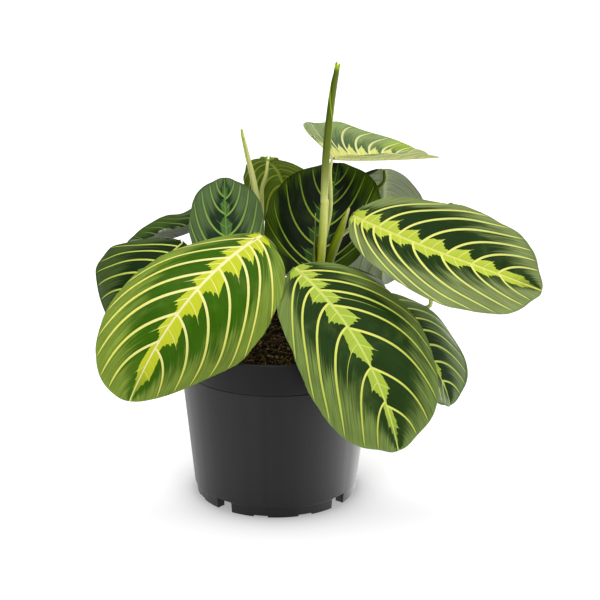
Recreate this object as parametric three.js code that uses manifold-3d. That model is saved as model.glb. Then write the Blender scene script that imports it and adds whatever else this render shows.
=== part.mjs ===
// A potted prayer plant: lemon-lime leaves on arching stalks in a dark grey nursery pot.
//
// Lengths are millimetres and angles are degrees. X runs to the right, Y to the back and Z up. The
// parts are made about the pot's axis, with the floor at Z = 0, and the whole is then centred.
import * as THREE from 'three';
import { mergeVertices } from 'three/addons/utils/BufferGeometryUtils.js';
import Module from 'manifold-3d';

// Sizes of the pot
const POT_HEIGHT = 104;
const RIM_RADIUS = 60;
const LIP_ROUND = 0.8;
const BAND_BOTTOM = 84.5;
const BAND_STEP = 0.6;
const WAIST_RADIUS = 59;
const BASE_RADIUS = 50.5;
const POT_WALL = 1.6;
const POT_FLOOR = 8;
const FOOT_WALL = 2.4;
const POT_SIDES = 60;
const FEET = 4;
const FOOT_TURN = 5.5;
const NOTCH_ANGLE = 13;
const NOTCH_HEIGHT = 7.4;
const RECESS_INNER = 11;
const RECESS_OUTER = 21.5;
const RECESS_DEPTH = 1.2;
const DRAIN_RADIUS = 5;
const DRAIN_CIRCLE = 34;
const DRAINS = 6;

// Soil and the holes that the stems stand in
const SOIL_EDGE = 95;
const SOIL_CROWN = 98;
const HOLE_BOTTOM = 76;
const GAP = 0.3;

// Blades: a flat outline, then folded, drooped, waved and bent along its midrib
const BLADE = 0.8;
const KEEL = 1.2;
const ROWS = 15;
const COLUMNS = 3;
const BELLY = 0.78;
const BASE_ROUNDNESS = 0.95;
const TIP_ROUNDNESS = 0.76;
const CUSP = 0.035;
const CUSP_REACH = 0.05;
const LOBE = 0.035;
const ROW_SPREAD = 0.15;
const RIPPLE = 1;
const RIPPLES = 2.5;
const STALK_SIDES = 8;

const GREEN = 0x5f8a2f;
const DARK_GREEN = 0x2e4a26;
const STALK_GREEN = 0x8fae4a;
const SOIL_BROWN = 0x3a2616;
const POT_GREY = 0x3d3d3f;

// Each blade: its base and tip, the half widths left and right of the midrib, how far the midrib
// arches up and bows sideways, the roll and twist of its face, and the fold, droop and lobe of each
// half. A larger belly moves the widest place towards the base, and a larger cusp sharpens the tip. The
// leaf's left is seen from above with the tip ahead.
const LEAVES = {
  leaf_front_left: {
    base: [-8, -22, 174], tip: [-86, -79, 88], half: [50.5, 40], arch: 24, bow: -6, roll: 42, twist: 54,
    fold: [-12, 7], droop: [18, 26], lobe: [0.085, 0.02], cusp: 0.01,
  },
  leaf_front: {
    base: [12, -32, 157], tip: [74, -80, 57], half: [47, 42], arch: 17, bow: 4, roll: -24, fold: [8, 10],
    droop: [18, 17], lobe: [0.015, 0.065], belly: 0.74,
  },
  leaf_right: {
    base: [47, -2, 180], tip: [161, -40, 147], half: [35, 37], arch: 4, bow: -6, roll: -30, twist: -8,
    nod: 4, fold: [25, 16], droop: [13, 14], lobe: [0.05, 0.05],
  },
  leaf_right_low: {
    base: [48, -2, 112], tip: [109, -8, 57], half: [45, 32], arch: 12, bow: 8, roll: -25,
    fold: [8, 24], droop: [20, 8],
  },
  leaf_left: {
    base: [-57, 0, 162], tip: [-99, -22, 112], half: [28, 42], arch: 11, bow: 5, roll: 18, fold: [0, 10],
    droop: [25, 11], lobe: [0.035, 0.055],
  },
  leaf_left_far: {
    base: [-34, 42, 169], tip: [-96, 61, 141], half: [15, 27], arch: -5, fold: [26, 24], droop: [0, 5],
  },
  leaf_middle_left: {
    base: [-27, -8, 140.5], tip: [-32, 42, 191], half: [24, 25], arch: -3, bow: 1, roll: 3,
    fold: [9, 13], belly: 0.75,
  },
  leaf_middle: {
    base: [21.5, 4, 138], tip: [39, 56, 196.5], half: [45, 34], bow: -1, roll: 3, fold: [8, 12],
    droop: [19, 18], lobe: [0.13, 0.06], belly: 0.72,
  },
  leaf_top: {
    base: [35, 2, 216.5], tip: [103, 62, 198.5], half: [38.5, 26], arch: -4, bow: 13, twist: 21,
    fold: [21, 26], droop: [-2, 6], lobe: [0.12, 0.035], belly: 0.86,
  },
  leaf_back_left: { base: [-5, 58, 198], tip: [9, 104, 132], half: [27, 32], arch: 12 },
  leaf_back_right: { base: [68, 64, 190], tip: [69, 100, 99], half: [34, 31], arch: 12 },
  leaf_low_back_left: { base: [-30, 56, 132], tip: [-62, 116, 70], half: [32, 32], arch: 14 },
  leaf_low_back: { base: [3, 60, 118], tip: [0, 118, 48], half: [34, 34], arch: 14 },
  leaf_low_back_right: { base: [31, 52, 129], tip: [52, 116, 66], half: [32, 32], arch: 14 },
  leaf_low_left: { base: [-56, 30, 128], tip: [-98, 40, 88], half: [26, 26], arch: 10 },
  leaf_right_far: { base: [92, 36, 136], tip: [136, 76, 118], half: [26, 26], arch: 8 },
};
const DARK_LEAVES = ['leaf_front', 'leaf_middle', 'leaf_middle_left', 'leaf_right_low', 'leaf_left_far'];

// Each stem: where it stands in the soil, the culms and sheaths that rise from it, and the leaves
// whose stalks it carries, with the points that each stalk passes.
const CULM = 3.2;
const STALK_ROOT = 2.2;
const STALK_TIP = 1.1;
const STEMS = {
  stem_front: {
    foot: [17, -20],
    stalks: { leaf_front_left: [[-3, -17, 140]], leaf_front: [[10, -22, 130]] },
  },
  stem_right: {
    foot: [34, 2],
    stalks: {
      leaf_right_low: [[40, 3, 106]],
      leaf_right_far: [[52, 24, 109], [78, 43, 105], [97, 45, 104], [97, 42, 114]],
    },
  },
  stem_centre: {
    foot: [20, -5],
    culms: [
      { path: [[20, -5, 102], [24, -8, 130], [27.5, -10, 153], [30, -9, 190]], radii: [3.4, 3.2, 3, 2.7] },
      { path: [[25, -6, 126], [33, -6, 154], [40, -5, 172], [45, -5, 186]], radii: [2.6, 3.4, 2.4, 0.5] },
    ],
    stalks: {
      leaf_top: [[27, -5, 150], [34.5, -3, 186]],
      leaf_right: [[27, -6, 130], [38, -5, 165]],
      leaf_middle: [[22, 1, 116]],
    },
  },
  stem_left: {
    foot: [-18, 6],
    stalks: {
      leaf_middle_left: [[-22, 0, 118]],
      leaf_left: [[-30, 2, 118], [-46, -4, 140]],
      leaf_left_far: [[-28, 26, 126]],
      leaf_low_left: [[-42, 24, 116]],
    },
  },
  stem_back_left: {
    foot: [-6, 28],
    culms: [{ path: [[-6, 28, 102], [-9.5, 42, 135], [-11.5, 46, 171]], radii: [3, 2.6, 2.3] }],
    stalks: {
      leaf_back_left: [[-10, 46, 148], [-9, 54, 178]],
      leaf_low_back_left: [[-24, 42, 118]],
    },
  },
  stem_back_right: {
    foot: [24, 32],
    stalks: {
      leaf_back_right: [[38, 46, 138], [58, 60, 172]],
      leaf_low_back: [[10, 46, 112]],
      leaf_low_back_right: [[32, 44, 114]],
    },
  },
};
const ROLLED_LEAVES = {
  rolled_leaf_tall: {
    path: [[30, -9, 190.4], [32, -8, 223], [35, -7, 253], [38.5, -6, 277]], radii: [2.7, 2.6, 2.4, 2],
  },
  rolled_leaf_small: {
    path: [[-11.7, 46.1, 171.9], [-14, 46.4, 187], [-17.6, 46.4, 203], [-21.5, 46, 221]],
    radii: [2.3, 2, 1.4, 0.8],
  },
};

const wasm = await Module();
wasm.setup();

const radians = THREE.MathUtils.degToRad;
const point = (values) => new THREE.Vector3(...values);

function solidOf(geometry) {
  geometry.deleteAttribute('normal');
  geometry.deleteAttribute('uv');
  const merged = mergeVertices(geometry, 1e-4);
  return new wasm.Manifold(new wasm.Mesh({
    numProp: 3,
    vertProperties: new Float32Array(merged.attributes.position.array),
    triVerts: new Uint32Array(merged.index.array),
  }));
}

function geometryOf(solid) {
  const mesh = solid.getMesh();
  const geometry = new THREE.BufferGeometry();
  geometry.setAttribute('position', new THREE.BufferAttribute(new Float32Array(mesh.vertProperties), 3));
  geometry.setIndex([...mesh.triVerts]);
  geometry.computeVertexNormals();
  return geometry;
}

function turned(profile, sides) {
  const geometry = new THREE.LatheGeometry(profile.map(([r, z]) => new THREE.Vector2(r, z)), sides);
  return solidOf(geometry.rotateX(Math.PI / 2));
}

function upright(radius, bottom, top, x, y, sides = 24) {
  const geometry = new THREE.CylinderGeometry(radius, radius, top - bottom, sides).rotateX(Math.PI / 2);
  return solidOf(geometry.translate(x, y, (bottom + top) / 2));
}

// A block between two angles about the pot's axis, measured from the front towards the right.
function sector(middle, halfAngle, inner, outer, bottom, top) {
  const start = radians(middle - halfAngle - 90);
  const end = radians(middle + halfAngle - 90);
  const shape = new THREE.Shape();
  shape.absarc(0, 0, outer, start, end, false);
  shape.absarc(0, 0, inner, end, start, true);
  const block = new THREE.ExtrudeGeometry(shape, { depth: top - bottom, bevelEnabled: false, curveSegments: 3 });
  return solidOf(block.translate(0, 0, bottom));
}

// Pot
const outerRadius = (z) => BASE_RADIUS + ((WAIST_RADIUS - BASE_RADIUS) * z) / BAND_BOTTOM;

function makePot() {
  const floorTop = POT_FLOOR + POT_WALL;
  const innerRim = RIM_RADIUS - POT_WALL;
  let pot = turned([
    [0, POT_FLOOR],
    [outerRadius(POT_FLOOR) - FOOT_WALL, POT_FLOOR],
    [BASE_RADIUS - FOOT_WALL, 0],
    [BASE_RADIUS, 0],
    [WAIST_RADIUS, BAND_BOTTOM],
    [WAIST_RADIUS + BAND_STEP, BAND_BOTTOM],
    [RIM_RADIUS, POT_HEIGHT - LIP_ROUND],
    [RIM_RADIUS - LIP_ROUND / 2, POT_HEIGHT],
    [innerRim + LIP_ROUND / 2, POT_HEIGHT],
    [innerRim, POT_HEIGHT - LIP_ROUND],
    [WAIST_RADIUS - POT_WALL, BAND_BOTTOM],
    [outerRadius(floorTop) - POT_WALL, floorTop],
    [0, floorTop],
  ], POT_SIDES);
  for (let foot = 0; foot < FEET; foot += 1) {
    const middle = FOOT_TURN + (360 / FEET) * foot;
    const inner = BASE_RADIUS - 2 * FOOT_WALL;
    const outer = BASE_RADIUS + FOOT_WALL;
    pot = pot.subtract(sector(middle + 180 / FEET, NOTCH_ANGLE / 2, inner, outer, -1, NOTCH_HEIGHT));
    for (const side of [-1, 1]) {
      const recess = middle + (side * (RECESS_INNER + RECESS_OUTER)) / 2;
      const halfAngle = (RECESS_OUTER - RECESS_INNER) / 2;
      pot = pot.subtract(sector(recess, halfAngle, inner, outer, -1, RECESS_DEPTH));
    }
  }
  for (let hole = 0; hole < DRAINS; hole += 1) {
    const angle = (2 * Math.PI * hole) / DRAINS;
    const x = DRAIN_CIRCLE * Math.cos(angle);
    const y = DRAIN_CIRCLE * Math.sin(angle);
    pot = pot.subtract(upright(DRAIN_RADIUS, POT_FLOOR - 1, floorTop + 1, x, y, 12));
  }
  return geometryOf(pot);
}

// Soil, with a plain hole for each stem
function makeSoil() {
  const floor = POT_FLOOR + POT_WALL + GAP;
  const inside = (z) => outerRadius(z) - POT_WALL - GAP;
  let soil = turned([
    [0, floor],
    [inside(floor), floor],
    [inside(BAND_BOTTOM), BAND_BOTTOM],
    [inside(BAND_BOTTOM), SOIL_EDGE],
    [0.6 * RIM_RADIUS, SOIL_CROWN - 0.7],
    [0, SOIL_CROWN],
  ], POT_SIDES);
  for (const { foot: [x, y] } of Object.values(STEMS)) {
    soil = soil.subtract(upright(CULM + GAP, HOLE_BOTTOM - GAP, SOIL_CROWN + 1, x, y, 16));
  }
  return geometryOf(soil);
}

// The blade's outline in its own plane: x along the midrib, y out to one side, from base to tip.
function outlinePoint(turnShare, form) {
  const { length, halfWidth, lobe, belly, cusp } = form;
  const turn = Math.PI * turnShare;
  const nearBase = turnShare < 0.5;
  const backward = nearBase ? lobe * Math.sin(2 * turn) ** 2 : 0;
  const peak = cusp * Math.exp(-(((1 - turnShare) / CUSP_REACH) ** 2));
  const along = ((1 - Math.cos(turn)) / 2) ** belly - backward + peak;
  const across = Math.max(Math.sin(turn), 0) ** (nearBase ? BASE_ROUNDNESS : TIP_ROUNDNESS);
  return new THREE.Vector2((length * along) / (1 + cusp), halfWidth * across);
}

// A point of one row, which slants forwards from the midrib to the margin as the veins do.
function rowPoint(row, share, form) {
  const start = new THREE.Vector2(form.length * THREE.MathUtils.lerp(row ** 3, row, ROW_SPREAD), 0);
  return start.lerp(outlinePoint(row ** 0.9, form), share);
}

// The midrib as a curve in space, with the directions that its face and its left side turn to.
function leafFrame(leaf) {
  const base = point(leaf.base);
  const chord = point(leaf.tip).sub(base);
  const span = chord.length();
  const ahead = chord.clone().normalize();
  const up = new THREE.Vector3(0, 0, 1).addScaledVector(ahead, -ahead.z).normalize();
  const roll = radians(leaf.roll ?? 0);
  const face = up.clone().multiplyScalar(Math.cos(roll));
  face.addScaledVector(up.clone().cross(ahead), Math.sin(roll));
  const left = face.clone().cross(ahead);
  const arch = leaf.arch ?? 0;
  const bow = leaf.bow ?? 0;
  const knee = base.clone().addScaledVector(chord, 0.5).addScaledVector(face, 2 * arch);
  knee.addScaledVector(left, 2 * bow);
  const midrib = new THREE.QuadraticBezierCurve3(base, knee, point(leaf.tip));
  const length = span * (1 + (2.2 * (arch ** 2 + bow ** 2)) / span ** 2);
  return { midrib, face, left, length };
}

function bladePoint(leaf, frame, row, share, side) {
  const { midrib, face, left, length } = frame;
  const half = side > 0 ? 0 : 1;
  const halfWidth = leaf.half[half];
  const lobe = (leaf.lobe ?? [LOBE, LOBE])[half];
  const form = { length, halfWidth, lobe, belly: leaf.belly ?? BELLY, cusp: leaf.cusp ?? CUSP };
  const flat = rowPoint(row, share, form);
  const place = flat.x / length;
  const spot = midrib.getPoint(place);
  spot.addScaledVector(face, -(leaf.nod ?? 0) * THREE.MathUtils.clamp((place - 0.6) / 0.4, 0, 1) ** 2);
  const twist = radians(leaf.twist ?? 0) * (place - 0.5);
  const faceHere = face.clone().multiplyScalar(Math.cos(twist)).addScaledVector(left, Math.sin(twist));
  const { v0, v1, v2 } = midrib;
  const ahead = v1.clone().sub(v0).multiplyScalar(1 - place);
  ahead.addScaledVector(v2.clone().sub(v1), place).normalize();
  const leftHere = faceHere.cross(ahead).normalize();
  const upHere = ahead.clone().cross(leftHere);
  const fold = (leaf.fold ?? [8, 8])[half];
  const droop = (leaf.droop ?? [20, 20])[half];
  const tilt = radians(fold - (droop * flat.y) / halfWidth);
  const waves = Math.sin(2 * Math.PI * (RIPPLES * place + (side > 0 ? 0 : 0.4)));
  const ripple = RIPPLE * (flat.y / halfWidth) ** 2 * waves;
  spot.addScaledVector(leftHere, side * flat.y * Math.cos(tilt));
  return spot.addScaledVector(upHere, flat.y * Math.sin(tilt) + ripple);
}

// A closed blade: rows along the midrib that follow the veins, and the same rows under it.
function makeBlade(leaf) {
  const frame = leafFrame(leaf);
  const top = [point(leaf.base)];
  const across = 2 * COLUMNS + 1;
  for (let row = 1; row < ROWS; row += 1) {
    for (let column = -COLUMNS; column <= COLUMNS; column += 1) {
      const side = column < 0 ? -1 : 1;
      top.push(bladePoint(leaf, frame, row / ROWS, Math.abs(column) / COLUMNS, side));
    }
  }
  top.push(bladePoint(leaf, frame, 1, 0, 1));
  const last = top.length - 1;
  const cell = (row, column) => 1 + (row - 1) * across + column;
  const faces = [];
  for (let column = 0; column < across - 1; column += 1) {
    faces.push([0, cell(1, column), cell(1, column + 1)]);
    faces.push([last, cell(ROWS - 1, column + 1), cell(ROWS - 1, column)]);
    for (let row = 1; row < ROWS - 1; row += 1) {
      const [a, b] = [cell(row, column), cell(row, column + 1)];
      const [c, d] = [cell(row + 1, column), cell(row + 1, column + 1)];
      if (column < COLUMNS) {
        faces.push([a, c, d], [a, d, b]);
      } else {
        faces.push([a, c, b], [b, c, d]);
      }
    }
  }
  const surface = new THREE.BufferGeometry().setFromPoints(top).setIndex(faces.flat());
  surface.computeVertexNormals();
  const normals = surface.attributes.normal;
  const under = top.map((spot, index) => {
    const onMidrib = index > 0 && index < last && (index - 1) % across === COLUMNS;
    const share = index === 0 ? 0 : Math.ceil(index / across) / ROWS;
    const keel = onMidrib || index === 0 ? KEEL * (1 - share ** 3) : 0;
    const normal = new THREE.Vector3().fromBufferAttribute(normals, index);
    return spot.clone().addScaledVector(normal, -(BLADE + keel));
  });
  const rim = [0];
  for (let row = 1; row < ROWS; row += 1) rim.push(cell(row, 0));
  rim.push(last);
  for (let row = ROWS - 1; row > 0; row -= 1) rim.push(cell(row, across - 1));
  const offset = top.length;
  const below = faces.map(([a, b, c]) => [a + offset, c + offset, b + offset]);
  const walls = rim.flatMap((a, index) => {
    const b = rim[(index + 1) % rim.length];
    return [[a, a + offset, b], [b, a + offset, b + offset]];
  });
  const blade = new THREE.BufferGeometry().setFromPoints([...top, ...under]);
  blade.setIndex([...faces, ...below, ...walls].flat());
  return geometryOf(solidOf(blade));
}

// The middle of the stalk's end, under the blade's base.
function underBase(leaf, depth) {
  const frame = leafFrame(leaf);
  const ahead = frame.midrib.getTangent(0);
  const down = frame.face.clone().addScaledVector(ahead, -frame.face.dot(ahead)).normalize();
  return point(leaf.base).addScaledVector(down, -(BLADE + KEEL + GAP + depth));
}

// A straight prism with a round section, bent along a path and given its own radius at each point.
function stalkSolid(path, radii, steps) {
  const curve = new THREE.CatmullRomCurve3(path);
  const frames = curve.computeFrenetFrames(steps, false);
  const section = new THREE.Shape().absarc(0, 0, 1, 0, 2 * Math.PI);
  const options = { depth: 1, steps, bevelEnabled: false, curveSegments: STALK_SIDES / 2 };
  const stalk = new THREE.ExtrudeGeometry(section, options);
  const spots = stalk.attributes.position;
  for (let index = 0; index < spots.count; index += 1) {
    const step = Math.round(spots.getZ(index) * steps);
    const place = (step / steps) * (radii.length - 1);
    const low = Math.min(Math.floor(place), radii.length - 2);
    const radius = THREE.MathUtils.lerp(radii[low], radii[low + 1], place - low);
    const spot = curve.getPointAt(step / steps);
    spot.addScaledVector(frames.normals[step], radius * spots.getX(index));
    spot.addScaledVector(frames.binormals[step], radius * spots.getY(index));
    spots.setXYZ(index, spot.x, spot.y, spot.z);
  }
  return solidOf(stalk);
}

function makeStem({ foot: [x, y], culms = [], stalks }) {
  let stem = upright(CULM, HOLE_BOTTOM, SOIL_CROWN + 6, x, y, STALK_SIDES);
  for (const { path, radii } of culms) {
    stem = stem.add(stalkSolid(path.map(point), radii, 8));
  }
  for (const [name, via] of Object.entries(stalks)) {
    const leaf = LEAVES[name];
    const path = [point([x, y, SOIL_CROWN + 3]), ...via.map(point), underBase(leaf, 7), underBase(leaf, 0)];
    stem = stem.add(stalkSolid(path, [STALK_ROOT, STALK_TIP + 0.4, STALK_TIP], 3 * path.length));
  }
  return geometryOf(stem);
}

const plant = new THREE.Group();

function addPart(name, geometry, color, roughness) {
  const material = new THREE.MeshStandardMaterial({ color, roughness, metalness: 0, side: THREE.DoubleSide });
  const mesh = new THREE.Mesh(geometry, material);
  mesh.name = name;
  plant.add(mesh);
}

addPart('pot', makePot(), POT_GREY, 0.5);
addPart('soil', makeSoil(), SOIL_BROWN, 0.95);
for (const [name, stem] of Object.entries(STEMS)) {
  addPart(name, makeStem(stem), STALK_GREEN, 0.5);
}
for (const [name, { path, radii }] of Object.entries(ROLLED_LEAVES)) {
  addPart(name, geometryOf(stalkSolid(path.map(point), radii, 8)), STALK_GREEN, 0.5);
}
for (const [name, leaf] of Object.entries(LEAVES)) {
  addPart(name, makeBlade(leaf), DARK_LEAVES.includes(name) ? DARK_GREEN : GREEN, 0.45);
}

// The origin is the middle of the whole plant's footprint, on the floor.
const middle = new THREE.Box3().setFromObject(plant).getCenter(new THREE.Vector3());
plant.position.set(-middle.x, -middle.y, 0);

const potted = new THREE.Group();
potted.add(plant);

export default potted;
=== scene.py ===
import math

import bpy
import numpy as np
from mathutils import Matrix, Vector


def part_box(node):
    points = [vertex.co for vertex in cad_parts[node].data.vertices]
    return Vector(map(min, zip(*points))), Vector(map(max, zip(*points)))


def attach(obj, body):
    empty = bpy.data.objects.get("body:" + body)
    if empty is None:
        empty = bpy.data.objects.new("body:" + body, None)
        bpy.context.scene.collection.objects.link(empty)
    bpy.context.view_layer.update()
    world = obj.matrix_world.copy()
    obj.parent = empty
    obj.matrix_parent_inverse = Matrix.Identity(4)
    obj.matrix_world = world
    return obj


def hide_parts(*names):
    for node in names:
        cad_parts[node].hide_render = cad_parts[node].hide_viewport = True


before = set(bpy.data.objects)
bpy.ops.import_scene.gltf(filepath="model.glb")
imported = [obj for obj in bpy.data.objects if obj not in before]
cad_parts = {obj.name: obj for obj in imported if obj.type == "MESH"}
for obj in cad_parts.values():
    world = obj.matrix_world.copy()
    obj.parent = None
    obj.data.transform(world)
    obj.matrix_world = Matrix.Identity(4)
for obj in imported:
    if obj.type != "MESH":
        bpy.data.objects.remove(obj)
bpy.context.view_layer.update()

MM = 0.001
SEED = 11

# Pot
POT_HEIGHT = 104.0
RIM_RADIUS = 60.0
LIP_ROUND = 0.8
BAND_BOTTOM = 84.5
BAND_STEP = 0.6
WAIST_RADIUS = 59.0
BASE_RADIUS = 50.5
POT_WALL = 1.6
POT_FLOOR = 8.0
FOOT_WALL = 2.4
POT_SIDES = 288
FEET = 4
FOOT_TURN = 5.5
NOTCH_ANGLE = 13.0
NOTCH_HEIGHT = 7.4
FOOT_TOP = 6.2
FOOT_INSET = 0.9
FOOT_END = 5.0
FOOT_END_ANGLE = 2.6
RECESS_INNER = 11.0
RECESS_OUTER = 21.5
RECESS_DEPTH = 1.2
DRAIN_RADIUS = 5.0
DRAIN_CIRCLE = 34.0
DRAINS = 6
GROOVE_HEIGHT = 0.9
GROOVE_CUT = 0.45

# The pot's finish: its grey, the painted highlight on the lip, the painted light and shadow lines at the
# edge of the rim band, and how much darker the band is painted for the shade of the leaves above it
POT_GREY = (30, 30, 31)
LIP_HIGHLIGHT = 4.0
BAND_PAINTED_LINES = 0.6
BAND_PAINTED_SHADE = 0.7

# Soil
SOIL_EDGE = 95.0
SOIL_CROWN = 98.0
SOIL_SIDES = 192
SOIL_RINGS = 46
CRUMBS = 4600
CHIPS = 420
FIBRES = 380
SOIL_COLOURS = [
    (0.0, (16, 12, 8)), (0.3, (38, 28, 16)), (0.55, (92, 70, 38)), (0.8, (172, 136, 72)),
    (1.0, (196, 152, 78)),
]

# Blades
ROWS = 140
COLUMNS = 26
BASE_ROUNDNESS = 0.95
CUSP_REACH = 0.05
RIPPLE = 1.0
RIPPLES = 2.5
CAD_BLADE = 0.8
CAD_KEEL = 1.2
SKIN = 0.25
INSET = 0.5
WAVE = 0.26
WAVE_SIZE = 11.0
NICK = 0.1
NICK_SIZE = 4.0
THICK_MIDDLE = 0.5
THICK_MARGIN = 0.28
KEEL_DEPTH = 1.5
KEEL_WIDTH = 1.5
GROOVE_DEPTH = 0.3
GROOVE_WIDTH = 0.9
PUFF = 0.55

# Nearly the same forms as the solids, leaf by leaf, with the look of each blade. Pairs are for the left and
# the right half, and angles are in degrees. The midrib runs from base to tip, bent up by arch, sideways by
# bow and down at its end by nod, and the blade turns about it by roll, and by twist from base to tip. Each
# half rises by fold and sinks again by droop at its margin. half is how wide it is, belly where it is
# widest, lobe how far it reaches back behind the base, cusp and point how sharply it narrows to the tip.
# veins holds where the side veins leave the midrib, as shares of its length, leave the angle at which they
# do so, sweep how they slant to the tip, and taper the width of the feathered band from base to tip. A
# fresh blade has a young green margin near its tip, and a turned one a dark rim on its underside.
LEAVES = {
    "leaf_front_left": dict(
        base=(-8, -22, 174), tip=(-86, -79, 88), half=(52, 40), arch=24, bow=-6, roll=42, twist=54,
        fold=(-12, 7), droop=(18, 26), lobe=(0.085, 0.02), cusp=0.01, leave=(84, 42), look="bright",
        veins=((0.03, 0.085, 0.16, 0.275, 0.42, 0.57, 0.75), (0.03, 0.105, 0.195, 0.3, 0.405, 0.56, 0.71))),
    "leaf_front": dict(
        base=(12, -32, 157), tip=(74, -80, 57), half=(47, 42), arch=17, bow=4, roll=-24, fold=(8, 10),
        droop=(18, 17), lobe=(0.015, 0.095), belly=0.74, look="deep", long_vein=(4, -1), leave=(52, 88),
        taper=(0.75, 0.9, 1, 0.72, 0.42, 0.2, 0.1),
        veins=((0.03, 0.085, 0.155, 0.25, 0.385, 0.6, 0.79), (0.05, 0.13, 0.235, 0.375, 0.6, 0.77))),
    "leaf_right": dict(
        base=(47, -2, 180), tip=(161, -40, 147), half=(35, 37), arch=4, bow=-6, roll=-30, twist=-8,
        nod=4, fold=(25, 16), droop=(13, 14), lobe=(0.05, 0.05), look="sheened_margin",
        veins=((0.06, 0.145, 0.25, 0.37, 0.51, 0.645, 0.775),
               (0.02, 0.06, 0.125, 0.215, 0.335, 0.485, 0.64, 0.785))),
    "leaf_right_low": dict(
        base=(48, -2, 112), tip=(109, -8, 57), half=(45, 32), arch=12, bow=8, roll=-25, fold=(8, 24),
        droop=(20, 8), look="ashen", taper=(0.85, 0.95, 1, 0.6, 0.2, 0, 0)),
    "leaf_left": dict(
        base=(-57, 0, 162), tip=(-99, -22, 112), half=(28, 42), arch=11, bow=5, roll=18, fold=(0, 10),
        droop=(25, 11), lobe=(0.035, 0.055), look="middling", taper=(0, 0.1, 0.7, 0.8, 0.6, 0.3, 0.1),
        veins=((0.08, 0.2, 0.36, 0.55, 0.76), (0.05, 0.14, 0.25, 0.4, 0.58, 0.78))),
    "leaf_left_far": dict(
        base=(-34, 42, 169), tip=(-96, 61, 141), half=(15, 27), arch=-5, fold=(26, 24), droop=(0, 5),
        look="dusky"),
    "leaf_middle_left": dict(
        base=(-27, -8, 140.5), tip=(-32, 42, 191), half=(24, 25), arch=-3, bow=1, roll=3, fold=(9, 13),
        belly=0.75, sweep=0.68, look="grey_sheened",
        veins=((0.1, 0.24, 0.44, 0.66, 0.82), (0.1, 0.24, 0.44, 0.64, 0.8))),
    "leaf_middle": dict(
        base=(21.5, 4, 138), tip=(39, 56, 196.5), half=(45, 34), bow=-1, roll=3, fold=(8, 12),
        droop=(19, 18), lobe=(0.2, 0.06), belly=0.75, sweep=0.6, look="dark_shaded",
        veins=((0.04, 0.11, 0.26, 0.45, 0.65, 0.82), (0.03, 0.1, 0.24, 0.43, 0.62, 0.8))),
    "leaf_top": dict(
        base=(35, 2, 216.5), tip=(103, 62, 198.5), half=(38.5, 26), arch=-4, bow=13, twist=21,
        fold=(21, 26), droop=(-2, 6), lobe=(0.15, 0.05), belly=0.86, cusp=0.08, point=1.2, sweep=1.3,
        fresh=True, look="pale", taper=(0.85, 0.95, 1, 1, 0.9, 0.7, 0.4),
        veins=((0.05, 0.12, 0.2, 0.3, 0.4, 0.5, 0.6, 0.7, 0.8),
               (0.06, 0.15, 0.25, 0.36, 0.48, 0.6, 0.72, 0.84))),
    "leaf_back_left": dict(
        base=(-5, 58, 198), tip=(9, 104, 132), half=(27, 32), arch=12, look="olive"),
    "leaf_back_right": dict(
        base=(68, 64, 190), tip=(69, 100, 99), half=(34, 31), arch=12, lobe=(0, 0), turned=True,
        look="ashen"),
    "leaf_low_back_left": dict(
        base=(-30, 56, 132), tip=(-62, 116, 70), half=(32, 32), arch=14, look="bright"),
    "leaf_low_back": dict(base=(3, 60, 118), tip=(0, 118, 48), half=(34, 34), arch=14, look="deep"),
    "leaf_low_back_right": dict(
        base=(31, 52, 129), tip=(52, 116, 66), half=(32, 32), arch=14, look="middling"),
    "leaf_low_left": dict(base=(-56, 30, 128), tip=(-98, 40, 88), half=(26, 26), arch=10, look="middling"),
    "leaf_right_far": dict(base=(92, 36, 136), tip=(136, 76, 118), half=(26, 26), arch=8, look="sheened_margin"),
}
USUAL_VEINS = (0.06, 0.15, 0.25, 0.37, 0.51, 0.66, 0.82)
USUAL = dict(
    arch=0, bow=0, roll=0, twist=0, nod=0, fold=(8, 8), droop=(20, 20), lobe=(0.035, 0.035), belly=0.78,
    cusp=0.035, point=0.76, sweep=0.82, leave=(76, 76), taper=(0.85, 0.95, 1, 0.85, 0.6, 0.3, 0.15),
    veins=(USUAL_VEINS, USUAL_VEINS))

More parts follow.
